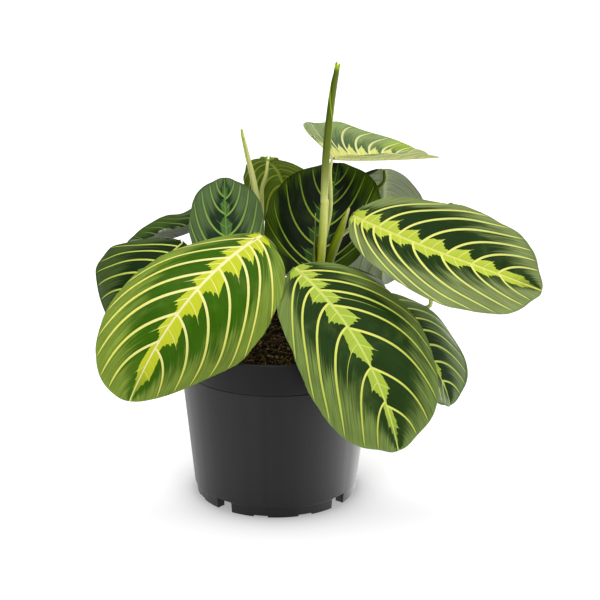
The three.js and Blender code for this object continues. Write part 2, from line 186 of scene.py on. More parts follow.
# The looks of the blades: the colours of the midrib, the veins near it and far from it, the feathered
# band, the dark patch between the veins, the margin and the underside, the widths of the midrib, the
# veins and the band as shares of the usual, the band's least width as a share of its widest, and how far
# the dark patches reach to the margin in the left and the right half.
LOOK_COLOURS = ("rib", "vein", "far", "band", "dark", "margin", "under", "under_vein")
LOOKS = {
    "bright": dict(
        rib=(240, 236, 172), vein=(240, 236, 156), far=(226, 226, 106), band=(196, 204, 46),
        dark=(54, 96, 2), margin=(124, 147, 54), under=(158, 172, 120), under_vein=(190, 200, 120),
        rib_size=1.0, vein_size=0.86, band_size=1.1, waist=0.34, patch=(0.66, 0.66)),
    "deep": dict(
        rib=(206, 218, 112), vein=(222, 226, 110), far=(190, 202, 84), band=(166, 188, 68),
        dark=(34, 58, 16), margin=(110, 130, 64), under=(140, 156, 128), under_vein=(170, 184, 116),
        rib_size=0.8, vein_size=0.74, band_size=1.1, waist=0.1, patch=(0.8, 0.6)),
    # A greyish margin, partly the leaf's own colour and partly a painted sheen
    "sheened_margin": dict(
        rib=(226, 226, 120), vein=(232, 232, 126), far=(210, 216, 116), band=(188, 204, 70),
        dark=(30, 54, 14), margin=(126, 141, 84), under=(150, 162, 146), under_vein=(178, 190, 136),
        rib_size=0.65, vein_size=0.74, band_size=1.15, waist=0.36, patch=(0.74, 0.5)),
    "middling": dict(
        rib=(200, 210, 100), vein=(206, 218, 96), far=(176, 194, 84), band=(150, 176, 56),
        dark=(24, 44, 14), margin=(66, 86, 40), under=(158, 160, 154), under_vein=(174, 180, 150),
        rib_size=0.5, vein_size=0.66, band_size=0.4, waist=0.3, patch=(0.6, 0.6)),
    "dusky": dict(
        rib=(150, 170, 80), vein=(124, 148, 66), far=(104, 130, 58), band=(90, 116, 44),
        dark=(34, 54, 16), margin=(62, 84, 30), under=(158, 160, 154), under_vein=(174, 180, 150),
        rib_size=0.4, vein_size=0.45, band_size=0.25, waist=0.3, patch=(0.6, 0.6)),
    # Greyish greens, partly the leaf's own colour and partly a painted sheen
    "grey_sheened": dict(
        rib=(106, 142, 66), vein=(138, 172, 70), far=(126, 158, 74), band=(78, 114, 54),
        dark=(26, 48, 26), margin=(86, 108, 64), under=(146, 158, 140), under_vein=(170, 182, 130),
        rib_size=0.5, vein_size=0.6, band_size=0.95, waist=0.15, patch=(0.46, 0.46)),
    # Dark greens whose colours, the band most of all, are partly the leaf's own and partly painted shade
    "dark_shaded": dict(
        rib=(90, 124, 26), vein=(146, 172, 50), far=(120, 144, 44), band=(44, 76, 26),
        dark=(16, 28, 8), margin=(64, 86, 12), under=(120, 134, 112), under_vein=(150, 164, 100),
        rib_size=0.5, vein_size=0.56, band_size=1.15, waist=0.15, patch=(0.95, 0.8)),
    # The very light underside colours are partly the blade's own and partly painted light shining through it
    "pale": dict(
        rib=(236, 236, 176), vein=(236, 234, 172), far=(212, 216, 146), band=(218, 220, 118),
        dark=(84, 110, 66), margin=(140, 158, 98), under=(240, 244, 172), under_vein=(212, 222, 158),
        rib_size=0.6, vein_size=0.8, band_size=1.5, waist=0.4, patch=(0.6, 0.6)),
    "ashen": dict(
        rib=(206, 216, 110), vein=(214, 222, 112), far=(190, 206, 104), band=(172, 194, 66),
        dark=(36, 56, 28), margin=(100, 120, 72), under=(200, 208, 182), under_vein=(204, 216, 168),
        rib_size=0.7, vein_size=0.75, band_size=1.0, waist=0.2, patch=(0.6, 0.6)),
    # The olive underside colours are partly the blade's own and partly a painted glow of light from behind
    "olive": dict(
        rib=(150, 150, 60), vein=(186, 198, 78), far=(160, 176, 70), band=(140, 156, 60),
        dark=(58, 90, 20), margin=(86, 112, 34), under=(122, 150, 46), under_vein=(186, 198, 78),
        rib_size=0.9, vein_size=0.8, band_size=0.9, waist=0.2, patch=(0.6, 0.6)),
}

# The margin of a fresh blade: where it starts along the blade and across it, and how much it shows
YOUNG_GREEN = (158, 182, 52)
YOUNG_ALONG = (0.5, 0.62)
YOUNG_ACROSS = (0.45, 0.75)
YOUNG_SHARE = 0.8

# The underside of a blade: how much of its own colour it shows, and where the dark rim of a turned one lies.
# The rim covers the end at the base and fades before the first side vein, by vein number below nought, and
# it starts beside the midrib on the left half, by share of the half's width.
UNDER_SHARE = 0.85
RIM_VEINS = (-0.75, -0.4)
RIM_ACROSS = (0.1, 0.3)

# A painted sheen in the margin's colour on the upper side of a blade: the noise that shows it, and how much
SHEEN_RANGE = (0.5, 0.78)
SHEEN_SHARE = 0.34

# Stems: where each stands, its culms and sheaths, and the points its stalks pass on the way to a leaf
CULM = 3.2
STALK_ROOT = 2.2
STALK_TIP = 1.1
STALK_GAP = 0.3
STEM_HEIGHTS = (78.0, 92.0, 104.0)
STALK_COLOURS = dict(
    green=(154, 168, 0), pale=(229, 232, 150), deep=(56, 78, 8), blush=(190, 142, 98), fresh=(158, 188, 30))
ROLL_COLUMNS = 60
ROLL_SHEET = 0.35
ROLL_CORE = 0.62
SHEATH_COLUMNS = 25
SHEATH_SHEET = 0.4
STEMS = {
    "stem_front": dict(
        foot=(17, -20),
        stalks={"leaf_front_left": [(-3, -17, 140)], "leaf_front": [(10, -22, 130)]}),
    "stem_right": dict(
        foot=(34, 2),
        stalks={
            "leaf_right_low": [(40, 3, 106)],
            "leaf_right_far": [(52, 24, 109), (78, 43, 105), (97, 45, 104), (97, 42, 114)]}),
    "stem_centre": dict(
        foot=(20, -5),
        culms=[dict(path=[(20, -5, 98), (24, -8, 130), (27.5, -10, 153), (30, -9, 190.4), (30.3, -8.9, 194)],
                    radii=(3.1, 3.0, 2.8, 2.6, 2.4))],
        sheaths=[dict(path=[(25, -6, 126), (33, -6, 154), (40, -5, 172), (45, -5, 186)],
                      radii=(2.9, 4.1, 3.4, 0.7), turn=2.0)],
        clasps=[dict(path=[(21, -7, 118), (24.8, -9.8, 142), (26.4, -10.4, 160), (25, -11, 184)],
                     radii=(3.5, 3.3, 3.0, 0.4), turn=-15, wrap=(80, 20), pale=False)],
        stalks={
            "leaf_top": [(28.5, -6.5, 158), (33.4, -4, 184)],
            "leaf_right": [(27, -6, 130), (38, -5, 165)],
            "leaf_middle": [(22, 1, 116)]}),
    "stem_left": dict(
        foot=(-18, 6),
        stalks={
            "leaf_middle_left": [(-22, 0, 118)],
            "leaf_left": [(-30, 2, 118), (-46, -4, 140)],
            "leaf_left_far": [(-28, 26, 126)],
            "leaf_low_left": [(-42, 24, 116)]}),
    "stem_back_left": dict(
        foot=(-6, 28),
        culms=[dict(path=[(-6, 28, 98), (-9.5, 42, 135), (-11.5, 46, 171.9)], radii=(3, 2.6, 2.2))],
        clasps=[dict(path=[(-9, 42, 135), (-10, 46, 148), (-9.4, 52, 172), (-9.2, 54, 180)],
                     radii=(2.4, 2.1, 1.7, 0.9), turn=200, wrap=(150, 20), pale=True)],
        stalks={
            "leaf_back_left": [(-10, 46, 148), (-9, 54, 178)],
            "leaf_low_back_left": [(-24, 42, 118)]}),
    "stem_back_right": dict(
        foot=(24, 32),
        stalks={
            "leaf_back_right": [(38, 46, 138), (58, 60, 172)],
            "leaf_low_back": [(10, 46, 112)],
            "leaf_low_back_right": [(32, 44, 114)]}),
}
ROLLED_LEAVES = {
    "rolled_leaf_tall": dict(
        path=[(29.7, -9, 190.2), (31, -8, 223), (34, -7, 253), (37.5, -6, 276.8)],
        radii=(2.6, 2.7, 2.65, 2.5, 2.2), drop=0.42, turn=4.2, lean=0.006, dark=True),
    "rolled_leaf_small": dict(
        path=[(-11.7, 46.1, 171.6), (-14, 46.4, 187), (-17.6, 46.4, 203), (-21.5, 46, 220.8)],
        radii=(2.35, 2.2, 1.9, 1.5, 1.0), drop=0.1, turn=2.2, dark=False),
}

# Camera: a long lens from the front, looking down on the plant
CAMERA_PLACE = (15.0, -1500.0, 660.0)
CAMERA_PITCH = 19.65
CAMERA_LENS = 155.16

# Light: an even sky and soft suns, each with its bearing from the front to the right, and its height
SKY = 0.42
BACKDROP = 1.05
FLOOR_GLOW = 0.68

# The painted light that lifts the floor behind the pot, so that the plant's shadow stays faint there. It
# grows towards the back and away from the pot's axis, in millimetres.
PAINTED_FLOOR_LIGHT = 0.24
LIFT_BACK = (-50.0, 10.0)
LIFT_AWAY = (46.0, 56.0)

# The painted shadow on the floor round the pot's foot and under it: its depth and its reach in millimetres
FOOT_PAINTED_SHADOW = 0.46
FOOT_SHADOW_REACH = 13.0

# A glow painted on the floor that only glossy rays see, so that glossy finishes mirror it as they would
# cards set
# round the floor: its brightness by bearing, as shares of a full turn from the back over the left, the front
# and the right to the back again
GLOSSY_FLOOR_GLOW = 3.6
GLOSSY_GLOW_STOPS = [
    (0.0, 0.2), (0.2, 0.2), (0.3, 0.17), (0.4, 0.14), (0.47, 0.02), (0.5, 0.0), (0.54, 0.05), (0.6, 0.26),
    (0.66, 0.55), (0.72, 0.85), (0.78, 1.0), (0.88, 0.7), (1.0, 0.3),
]
SUNS = {
    "overhead": dict(turn=10, height=76, softness=80, strength=1.9),
    "right": dict(turn=62, height=34, softness=50, strength=0.9, colour=(0.96, 0.98, 1.0)),
    "left": dict(turn=-40, height=50, softness=60, strength=0.7),
}

low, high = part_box("pot")
AXIS = np.array([(low.x + high.x) / 2, (low.y + high.y) / 2, 0.0])


# Vectors
def vec(*values):
    return np.array(values, float)


def unit(vectors):
    return vectors / np.maximum(np.linalg.norm(vectors, axis=-1, keepdims=True), 1e-12)


def smoothstep(value, start, end):
    share = np.clip((value - start) / (end - start), 0, 1)
    return share * share * (3 - 2 * share)


def wander(places, size, seed):
    """Smooth random values, about -1 to 1, at points in millimetres, with bumps of about that size."""
    chance = np.random.default_rng(seed)
    total = np.zeros(places.shape[:-1])
    waves = 12
    for _ in range(waves):
        direction = chance.normal(size=places.shape[-1])
        direction *= 2 * math.pi / (size * 2 * np.linalg.norm(direction)) * chance.uniform(0.6, 1.6)
        total += np.sin(places @ direction + chance.uniform(0, 2 * math.pi))
    return total / math.sqrt(waves)


# Shapes: points, faces, the face's material number and values for the materials at each point
class Shape:
    def __init__(self, points, faces, values, skins=None):
        self.points = np.asarray(points, float).reshape(-1, 3)
        self.faces = faces
        self.values = {name: np.asarray(value, float).reshape(-1, 3) for name, value in values.items()}
        self.skins = skins or [0] * len(faces)


def joined(shapes):
    faces = []
    skins = []
    start = 0
    for shape in shapes:
        faces += [tuple(corner + start for corner in face) for face in shape.faces]
        skins += shape.skins
        start += len(shape.points)
    names = shapes[0].values
    values = {name: np.concatenate([shape.values[name] for shape in shapes]) for name in names}
    return Shape(np.concatenate([shape.points for shape in shapes]), faces, values, skins)


def mesh_of(name, shape):
    mesh = bpy.data.meshes.new(name)
    mesh.from_pydata((shape.points * MM + AXIS).tolist(), [], shape.faces)
    for key, value in shape.values.items():
        attribute = mesh.attributes.new(key, "FLOAT_VECTOR", "POINT")
        attribute.data.foreach_set("vector", value.astype(np.float32).ravel())
    mesh.polygons.foreach_set("use_smooth", [True] * len(mesh.polygons))
    mesh.polygons.foreach_set("material_index", shape.skins)
    mesh.update()
    return mesh


def placed(name, data):
    item = bpy.data.objects.new(name, data)
    bpy.context.scene.collection.objects.link(item)
    return item


def add_piece(name, mesh, materials, node):
    for material in materials:
        mesh.materials.append(material)
    piece = placed(name, mesh)
    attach(piece, "root")
    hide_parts(node)


def circle(sides):
    return np.linspace(0, 2 * math.pi, sides, endpoint=False)


def ring(radius, height, angle):
    return np.stack([radius * np.cos(angle), radius * np.sin(angle), height + 0 * angle], -1)


def grid_faces(rows, columns, start=0, flip=False, around=False):
    """Four-cornered faces of a grid of points, row after row, closed around its columns if asked."""
    faces = []
    last = columns if around else columns - 1
    for row in range(rows - 1):
        for column in range(last):
            a = start + row * columns + column
            b = start + row * columns + (column + 1) % columns
            c = b + columns
            d = a + columns
            faces.append((a, d, c, b) if flip else (a, b, c, d))
    return faces


def capped_faces(rows, columns):
    """Faces of a grid closed around its columns, with a fan from each end to one more point."""
    faces = grid_faces(rows, columns, around=True)
    count = rows * columns
    first = count - columns
    faces += [((column + 1) % columns, column, count) for column in range(columns)]
    faces += [(first + column, first + (column + 1) % columns, count + 1) for column in range(columns)]
    return faces


def border_walls(border, count):
    """Walls along a border between two grids whose points are that many numbers apart."""
    return [(b, a, a + count, b + count) for a, b in zip(border, border[1:] + border[:1])]


def closed_sheet(outer, inner, values):
    """A thin closed body between two grids of points, with walls along its four borders."""
    rows, columns = outer.shape[:2]
    count = rows * columns
    faces = grid_faces(rows, columns) + grid_faces(rows, columns, start=count, flip=True)
    border = list(range(columns))
    border += [row * columns + columns - 1 for row in range(1, rows)]
    border += [count - columns + column for column in range(columns - 2, -1, -1)]
    border += [row * columns for row in range(rows - 2, 0, -1)]
    points = np.concatenate([outer.reshape(-1, 3), inner.reshape(-1, 3)])
    both = {name: np.concatenate([value.reshape(-1, 3)] * 2) for name, value in values.items()}
    return Shape(points, faces + border_walls(border, count), both)


# Materials
def srgb(red, green, blue):
    """An sRGB colour from 0 to 255 as a linear colour with alpha."""
    channels = [value / 255 for value in (red, green, blue)]
    linear = [c / 12.92 if c <= 0.04045 else ((c + 0.055) / 1.055) ** 2.4 for c in channels]
    return (*linear, 1.0)


class Value:
    """A number or a colour in a material. Numbers can be added, subtracted and multiplied."""

    def __init__(self, shader, socket):
        self.shader = shader
        self.socket = socket

    def __add__(self, other):
        return self.shader.math("ADD", self, other)

    def __sub__(self, other):
        return self.shader.math("SUBTRACT", self, other)

    def __rsub__(self, other):
        return self.shader.math("SUBTRACT", other, self)

    def __mul__(self, other):
        return self.shader.math("MULTIPLY", self, other)

    __radd__ = __add__
    __rmul__ = __mul__


class Shader:
    """A material, with short names for the nodes that the finishes use."""

    def __init__(self, name):
        self.material = bpy.data.materials.new(name)
        self.material.use_nodes = True
        self.tree = self.material.node_tree
        self.tree.nodes.clear()

    def feed(self, socket, value):
        if isinstance(value, Value):
            self.tree.links.new(value.socket, socket)
        else:
            socket.default_value = value

    def made(self, kind, inputs, output=0, **settings):
        """What a new node gives out, once it is set and its inputs are fed."""
        node = self.tree.nodes.new(kind)
        for key, value in settings.items():
            setattr(node, key, value)
        for key, value in inputs.items():
            self.feed(node.inputs[key], value)
        return Value(self, node.outputs[output])

    def math(self, operation, *values, clamp=False):
        return self.made("ShaderNodeMath", dict(enumerate(values)), operation=operation, use_clamp=clamp)

    def step(self, value, start, end):
        return self.made("ShaderNodeMapRange", {0: value, 1: start, 2: end}, interpolation_type="SMOOTHSTEP")

    def parts(self, vector):
        node = self.tree.nodes.new("ShaderNodeSeparateXYZ")
        self.feed(node.inputs[0], vector)
        return [Value(self, socket) for socket in node.outputs]

    def values(self, name):
        return self.parts(self.made("ShaderNodeAttribute", {}, "Vector", attribute_name=name))

    def place(self):
        return self.made("ShaderNodeTexCoord", {}, "Object")

    def from_axis(self):
        """The place in metres from the pot's axis, and its height."""
        x, y, z = self.parts(self.place())
        return x - float(AXIS[0]), y - float(AXIS[1]), z

    def vector(self, x, y, z):
        return self.made("ShaderNodeCombineXYZ", {0: x, 1: y, 2: z})

    def noise(self, place, scale=1.0, detail=2.0, roughness=0.5):
        inputs = {"Vector": place, "Scale": scale, "Detail": detail, "Roughness": roughness}
        return self.made("ShaderNodeTexNoise", inputs)

    def chance(self, key):
        return self.made("ShaderNodeTexWhiteNoise", {"W": key}, "Value", noise_dimensions="1D")

    def ramp(self, value, stops):
        """A colour, or a grey level, that follows the value through the stops."""
        node = self.tree.nodes.new("ShaderNodeValToRGB")
        elements = node.color_ramp.elements
        elements.remove(elements[1])
        for number, (position, colour) in enumerate(stops):
            element = elements.new(position) if number else elements[0]
            element.position = position
            element.color = colour if isinstance(colour, tuple) else (colour, colour, colour, 1.0)
        self.feed(node.inputs[0], value)
        return Value(self, node.outputs[0])

    def mix(self, share, first, second):
        return self.made("ShaderNodeMix", {0: share, 6: first, 7: second}, 2, data_type="RGBA")

    def shade(self, colour, level):
        """The colour made darker or lighter by a level around 1."""
        plain = colour[:3] if isinstance(colour, tuple) else colour
        return self.made("ShaderNodeVectorMath", {0: plain, "Scale": level}, operation="SCALE")

    def bump(self, height):
        """A normal from a height in millimetres."""
        return self.made("ShaderNodeBump", {"Strength": 1.0, "Distance": MM, "Height": height})

    def surface(self, colour, roughness, normal=None, through=0.0, **settings):
        """The finish itself, with a share of light that passes through if asked."""
        shader = self.tree.nodes.new("ShaderNodeBsdfPrincipled")
        self.feed(shader.inputs["Base Color"], colour)
        self.feed(shader.inputs["Roughness"], roughness)
        for key, value in settings.items():
            self.feed(shader.inputs[key.replace("_", " ").title().replace("Ior", "IOR")], value)
        if normal is not None:
            self.feed(shader.inputs["Normal"], normal)
        result = Value(self, shader.outputs[0])
        if through:
            glow = self.made("ShaderNodeBsdfTranslucent", {"Color": colour})
            result = self.made("ShaderNodeMixShader", {0: through, 1: result, 2: glow})
        output = self.tree.nodes.new("ShaderNodeOutputMaterial")
        self.feed(output.inputs[0], result)
        return self.material


# The feathered band's edge between two veins, as a share of its widest reach: it starts at the nearer
# vein, runs out to a tooth on the middle vein, drops to a second tooth and ends at the midrib.
BAND_REACH = 11.0
BAND_EDGE = [
    (0.0, 0.62), (0.08, 0.64), (0.2, 0.76), (0.3, 0.84), (0.38, 0.97), (0.43, 1.06), (0.46, 0.82),
    (0.54, 0.7), (0.6, 0.78), (0.63, 0.58), (0.7, 0.46), (0.75, 0.5), (0.79, 0.32), (0.87, 0.18),
    (0.95, 0.08), (1.0, 0.06),
]
MIDDLE_VEIN = 0.43


def blade_materials(name, leaf, seed):
    """The upper and lower finish of one blade."""
    return [blade_material(name + side, leaf, seed, side == "_under") for side in ("_top", "_under")]


def blade_material(name, leaf, seed, under):
    look = LOOKS[leaf["look"]]
    tone = {part: srgb(*look[part]) for part in LOOK_COLOURS}
    s = Shader(name)
    number, across, reach = s.values("vein")
    pitch, vein_half, band_scale = s.values("form")
    rib, rib_half, along = s.values("rib")
    share = s.math("ABSOLUTE", across)
    hand = s.math("SIGN", across)
    part = s.math("FRACT", number)
    key = s.math("FLOOR", number) * 2.0 + hand
    chance = s.chance(key + 31.7 * seed)
    other = s.chance(key + (31.7 * seed + 7.3))

    def drawn(across_veins, along_veins, halves, detail):
        """Noise drawn out along the veins, different in each half."""
        place = s.vector(number * across_veins, reach * along_veins, hand * halves + seed)
        return s.noise(place, detail=detail)

    streak = drawn(15.0, 0.03, 9.0, 2.0)
    fine = drawn(46.0, 0.05, 5.0, 1.0)
    ragged = drawn(9.0, 0.3, 1.0, 2.5)
    broad = drawn(2.2, 0.05, 3.0, 1.0)

    # Side veins
    gap = s.math("ABSOLUTE", number - s.math("ROUND", number)) * pitch
    vein = s.step(vein_half - gap, -0.16, 0.14) * s.step(vein_half, 0.05, 0.25)

    # The feathered band, and the thin middle vein that runs on from its long tooth
    edge = s.math("MAXIMUM", s.ramp(part, BAND_EDGE), look["waist"])
    size = 0.86 + chance * 0.28
    border = edge * BAND_REACH * (size * band_scale) + (ragged - 0.5) * (edge * 3.6)
    band = s.step(border - reach, -0.2, 0.2)
    middle_gap = s.math("ABSOLUTE", part - MIDDLE_VEIN) * pitch
    spike = 1.5 + other * other * 7.0
    if "long_vein" in leaf:
        long_cell, long_hand = leaf["long_vein"]
        spike = spike + s.math("COMPARE", key, 2.0 * long_cell + long_hand, 0.2) * 34.0
    tip = size * band_scale * (BAND_REACH * 0.88) + spike
    thin = s.math("DIVIDE", tip - reach, spike + 3.0, clamp=True) * (vein_half * 0.36)
    middle = s.step(thin - middle_gap, -0.12, 0.12) * s.step(thin, 0.02, 0.1)

    # The green between the veins, dark near the midrib and lighter at the margin
    drift = (streak - 0.5) * 0.55 + (broad - 0.5) * 0.5
    left_patch, right_patch = look["patch"]
    patch = (left_patch + right_patch) / 2 + hand * ((left_patch - right_patch) / 2)
    patch = patch * (0.5 + s.step(along, 0.0, 0.18) * 0.5)
    faded = s.step(share + drift - patch, -0.2, 0.2)
    green = s.mix(faded, tone["dark"], tone["margin"])
    level = 1.0 + (streak - 0.5) * (0.45 + faded * 0.6)
    level = level + (fine - 0.5) * (0.35 + faded * 0.75)
    # Painted shade: a dark edge along each side of the side veins
    vein_edge_shade = s.step(vein_half + 1.3 - gap, 0.0, 1.1) * s.step(vein_half, 0.05, 0.3)
    level = level - vein_edge_shade * 0.2
    level = level + (s.noise(s.place(), scale=60.0) - 0.5) * 0.5
    if "fresh" in leaf:
        young = s.step(along, *YOUNG_ALONG) * s.step(across + drift, *YOUNG_ACROSS)
        green = s.mix(young * YOUNG_SHARE, green, srgb(*YOUNG_GREEN))
    vein_colour = s.mix(s.step(share, 0.1, 0.8), tone["vein"], tone["far"])
    band_colour = tone["band"]
    if under:
        green = s.mix(UNDER_SHARE, green, tone["under"])
        vein_colour = s.mix(UNDER_SHARE, vein_colour, tone["under_vein"])
        band_colour = s.mix(UNDER_SHARE, band_colour, tone["under"])
    if under and "turned" in leaf:
        rim = s.step(number * -1.0, *RIM_VEINS) * s.step(across, *RIM_ACROSS)
        green = s.mix(rim, green, tone["dark"])
    colour = s.shade(green, level)
    if not under:
        # Painted sheen: patches of the margin's colour laid over the upper side
        sheen_noise = s.noise(s.place(), scale=34.0, detail=4.0, roughness=0.6)
        colour = s.mix(s.step(sheen_noise, *SHEEN_RANGE) * SHEEN_SHARE, colour, tone["margin"])

    # All of them over each other, from the band up to the midrib
    band_level = 1.0 + (fine - 0.5) * 0.3 + (streak - 0.5) * 0.24
    band_colour = s.mix(s.step(along, 0.8, 0.97) * 0.6, s.shade(band_colour, band_level), colour)
    colour = s.mix(band, colour, band_colour)
    colour = s.mix(middle * 0.8, colour, vein_colour)
    colour = s.mix(vein, colour, vein_colour)
    rib_mask = s.step(rib_half - rib, -0.25, 0.2)
    colour = s.mix(rib_mask, colour, tone["under_vein"] if under else tone["rib"])

    grain = s.noise(s.place(), scale=2600.0, detail=1.0)
    height = streak * 0.05 + fine * 0.03 + vein * (0.08 if under else 0.05) + grain * 0.012
    roughness = (0.6 if under else 0.44) + (streak - 0.5) * 0.12
    specular = 0.04 if under else 0.07
    return s.surface(colour, roughness, s.bump(height), through=0.2, specular_ior_level=specular)


def outline(turn_share, length, half, leaf):
    """The blade's outline in its own plane, from base to tip, on one side of the midrib."""
    turn = np.pi * turn_share
    near_base = turn_share < 0.5
    backward = np.where(near_base, leaf["lobe"][half] * np.sin(2 * turn) ** 2, 0)
    peak = leaf["cusp"] * np.exp(-(((1 - turn_share) / CUSP_REACH) ** 2))
    along = ((1 - np.cos(turn)) / 2) ** leaf["belly"] - backward + peak
    roundness = np.where(near_base, BASE_ROUNDNESS, leaf["point"])
    across = np.maximum(np.sin(turn), 0) ** roundness
    return np.stack([length * along / (1 + leaf["cusp"]), leaf["half"][half] * across], -1)


def flat_half(length, half, leaf):
    """One half of the flat blade as rows that follow the veins, and columns out to the margin."""
    turn = np.arange(ROWS + 1) / ROWS
    turn = 1.1 * turn - 0.1 * turn ** 2
    row = turn ** (1 / leaf["sweep"])
    share = (np.arange(COLUMNS + 1) / COLUMNS) ** 1.5
    start = np.stack([length * (0.94 * row ** 3 + 0.06 * row), 0 * row], -1)
    end = outline(turn, length, half, leaf)
    chord = end - start
    reach = np.linalg.norm(chord, axis=-1, keepdims=True)
    slant = np.arctan2(chord[:, 1], chord[:, 0] + 1e-9)
    leave = np.maximum(np.radians(leaf["leave"][half] - 20 * row ** 3), slant + 0.2)
    first = start + 0.25 * reach * np.stack([np.cos(leave), np.sin(leave)], -1)
    arrive = slant - np.radians(20) * np.clip(row / 0.35, 0, 1)
    follow = 0.5 * np.clip(row / 0.5, 0, 1)[:, None]
    second = end - follow * reach * np.stack([np.cos(arrive), np.sin(arrive)], -1)
    s = share[None, :, None]
    flat = (1 - s) ** 3 * start[:, None] + 3 * (1 - s) ** 2 * s * first[:, None]
    flat = flat + 3 * (1 - s) * s ** 2 * second[:, None] + s ** 3 * end[:, None]
    return flat, row, share


def leaf_frame(leaf):
    base = vec(*leaf["base"])
    tip = vec(*leaf["tip"])
    chord = tip - base
    span = np.linalg.norm(chord)
    ahead = chord / span
    up = unit(vec(0, 0, 1) - ahead[2] * ahead)
    roll = math.radians(leaf["roll"])
    face = up * math.cos(roll) + np.cross(up, ahead) * math.sin(roll)
    left = np.cross(face, ahead)
    knee = base + 0.5 * chord + 2 * leaf["arch"] * face + 2 * leaf["bow"] * left
    length = span * (1 + 2.2 * (leaf["arch"] ** 2 + leaf["bow"] ** 2) / span ** 2)
    return base, knee, tip, face, left, length


def curled(leaf, side, flat):
    """Points of the flat half blade, folded, drooped, waved and bent along its midrib."""
    base, knee, tip, face, left, length = leaf_frame(leaf)
    half = 0 if side > 0 else 1
    place = (flat[..., 0] / length)[..., None]
    spot = (1 - place) ** 2 * base + 2 * place * (1 - place) * knee + place ** 2 * tip
    spot = spot - leaf["nod"] * np.clip((place - 0.6) / 0.4, 0, 1) ** 2 * face
    ahead = unit((1 - place) * (knee - base) + place * (tip - knee))
    twist = np.radians(leaf["twist"]) * (place - 0.5)
    face_here = face * np.cos(twist) + left * np.sin(twist)
    left_here = unit(np.cross(face_here, ahead))
    up_here = np.cross(ahead, left_here)
    out = flat[..., 1:2]
    out_share = out / leaf["half"][half]
    tilt = np.radians(leaf["fold"][half] - leaf["droop"][half] * out_share)
    waves = np.sin(2 * math.pi * (RIPPLES * place + (0 if side > 0 else 0.4)))
    lift = out * np.sin(tilt) + RIPPLE * out_share ** 2 * waves
    return spot + side * out * np.cos(tilt) * left_here + lift * up_here


def half_values(leaf, side, flat, row, share):
    """What the materials read: vein numbers, reach, spacing and the widths of veins, band and midrib."""
    half = 0 if side > 0 else 1
    look = LOOKS[leaf["look"]]
    start = 0.94 * row ** 3 + 0.06 * row
    veins = leaf["veins"][half]
    number = np.interp(start, [0, *veins, 1], np.arange(len(veins) + 2))
    steps = np.linalg.norm(np.diff(flat, axis=1), axis=-1)
    reach = np.concatenate([np.zeros((len(row), 1)), np.cumsum(steps, axis=1)], axis=1)
    along_row = unit(np.gradient(flat, axis=1) + 1e-9)
    along_rows = np.gradient(flat, axis=0)
    turned = along_rows[..., 0] * along_row[..., 1] - along_rows[..., 1] * along_row[..., 0]
    pitch = np.abs(turned) / np.maximum(np.gradient(number)[:, None], 1e-6)
    shown = np.clip((number - 0.35) / 0.4, 0, 1) * np.clip((len(veins) + 0.75 - number) / 0.5, 0, 1)
    strong = np.interp(start, (0, 0.15, 0.4, 0.7, 1), (0.7, 0.95, 1.05, 0.9, 0.65))
    taper = np.interp(share, (0, 0.15, 0.5, 0.8, 0.93, 0.985), (0.95, 1.05, 1, 0.8, 0.55, 0.1))
    vein_half = 0.92 * look["vein_size"] * (shown * strong)[:, None] * taper[None, :]
    band = np.interp(start, (0, 0.08, 0.3, 0.6, 0.8, 0.95, 1), leaf["taper"])
    band = band * look["band_size"] * leaf["half"][half] / 45
    rib_half = look["rib_size"] * np.interp(start, (0, 0.5, 1), (1.15, 0.68, 0.28))
    wide = np.ones_like(reach)
    number = number[:, None] * wide
    vein = np.stack([number, side * share[None, :] * wide, reach], -1)
    form = np.stack([pitch, vein_half, band[:, None] * wide], -1)
    rib = np.stack([flat[..., 1], rib_half[:, None] * wide, start[:, None] * wide], -1)
    return vein, form, rib


def two_halves(left, right):
    """One grid from the left margin over the midrib to the right margin."""
    return np.concatenate([left[:, :0:-1], right], axis=1)


def grid_normals(points):
    down = np.gradient(points, axis=0)
    across = np.gradient(points, axis=1)
    return unit(np.cross(across, down))


def blade_shape(leaf, seed):
    """A closed thin blade, thickest at its midrib, with the values that its materials read."""
    length = leaf_frame(leaf)[-1]
    halves = []
    for side in (1, -1):
        half = 0 if side > 0 else 1
        flat, row, share = flat_half(length, half, leaf)
        wobble = WAVE * wander(flat[:, -1:], WAVE_SIZE, seed + half)
        wobble = wobble + NICK * wander(flat[:, -1:], NICK_SIZE, seed)
        inset = (wobble - INSET) / leaf["half"][half] * share[None, :] ** 4
        flat = flat * np.stack([0 * inset + 1 - INSET / length, 1 + inset], -1)
        halves.append((curled(leaf, side, flat), *half_values(leaf, side, flat, row, share)))
    top, vein, form, rib = [two_halves(left, right) for left, right in zip(*halves)]
    normals = grid_normals(top)
    normals[:4] = normals[4]
    normals[-1] = normals[-2]
    out = np.abs(vein[..., 1])
    puffed = np.sin(np.pi * (vein[..., 0] % 1)) ** 2 * np.sin(np.pi * np.clip(out, 0, 1)) ** 0.7
    puffed = puffed * np.clip(form[..., 0] / 8, 0, 1)
    groove = np.exp(-((rib[..., 0] / GROOVE_WIDTH) ** 2)) * (1 - rib[..., 2] ** 3)
    relief = PUFF * (puffed - 1) - GROOVE_DEPTH * groove
    top = top + (relief - SKIN + PUFF * 0.5)[..., None] * normals
    thick = THICK_MIDDLE + (THICK_MARGIN - THICK_MIDDLE) * smoothstep(out, 0.3, 1.0)
    round_keel = np.sqrt(np.clip(1 - (rib[..., 0] / KEEL_WIDTH) ** 2, 0, 1))
    keel = KEEL_DEPTH * round_keel * (1 - 0.85 * rib[..., 2])
    under = top - (thick + keel)[..., None] * normals
    for grid in (top, under):
        grid[0] = grid[0, COLUMNS]
        grid[-1] = grid[-1, COLUMNS]
    return pointed_sheet(top, under, {"vein": vein, "form": form, "rib": rib})


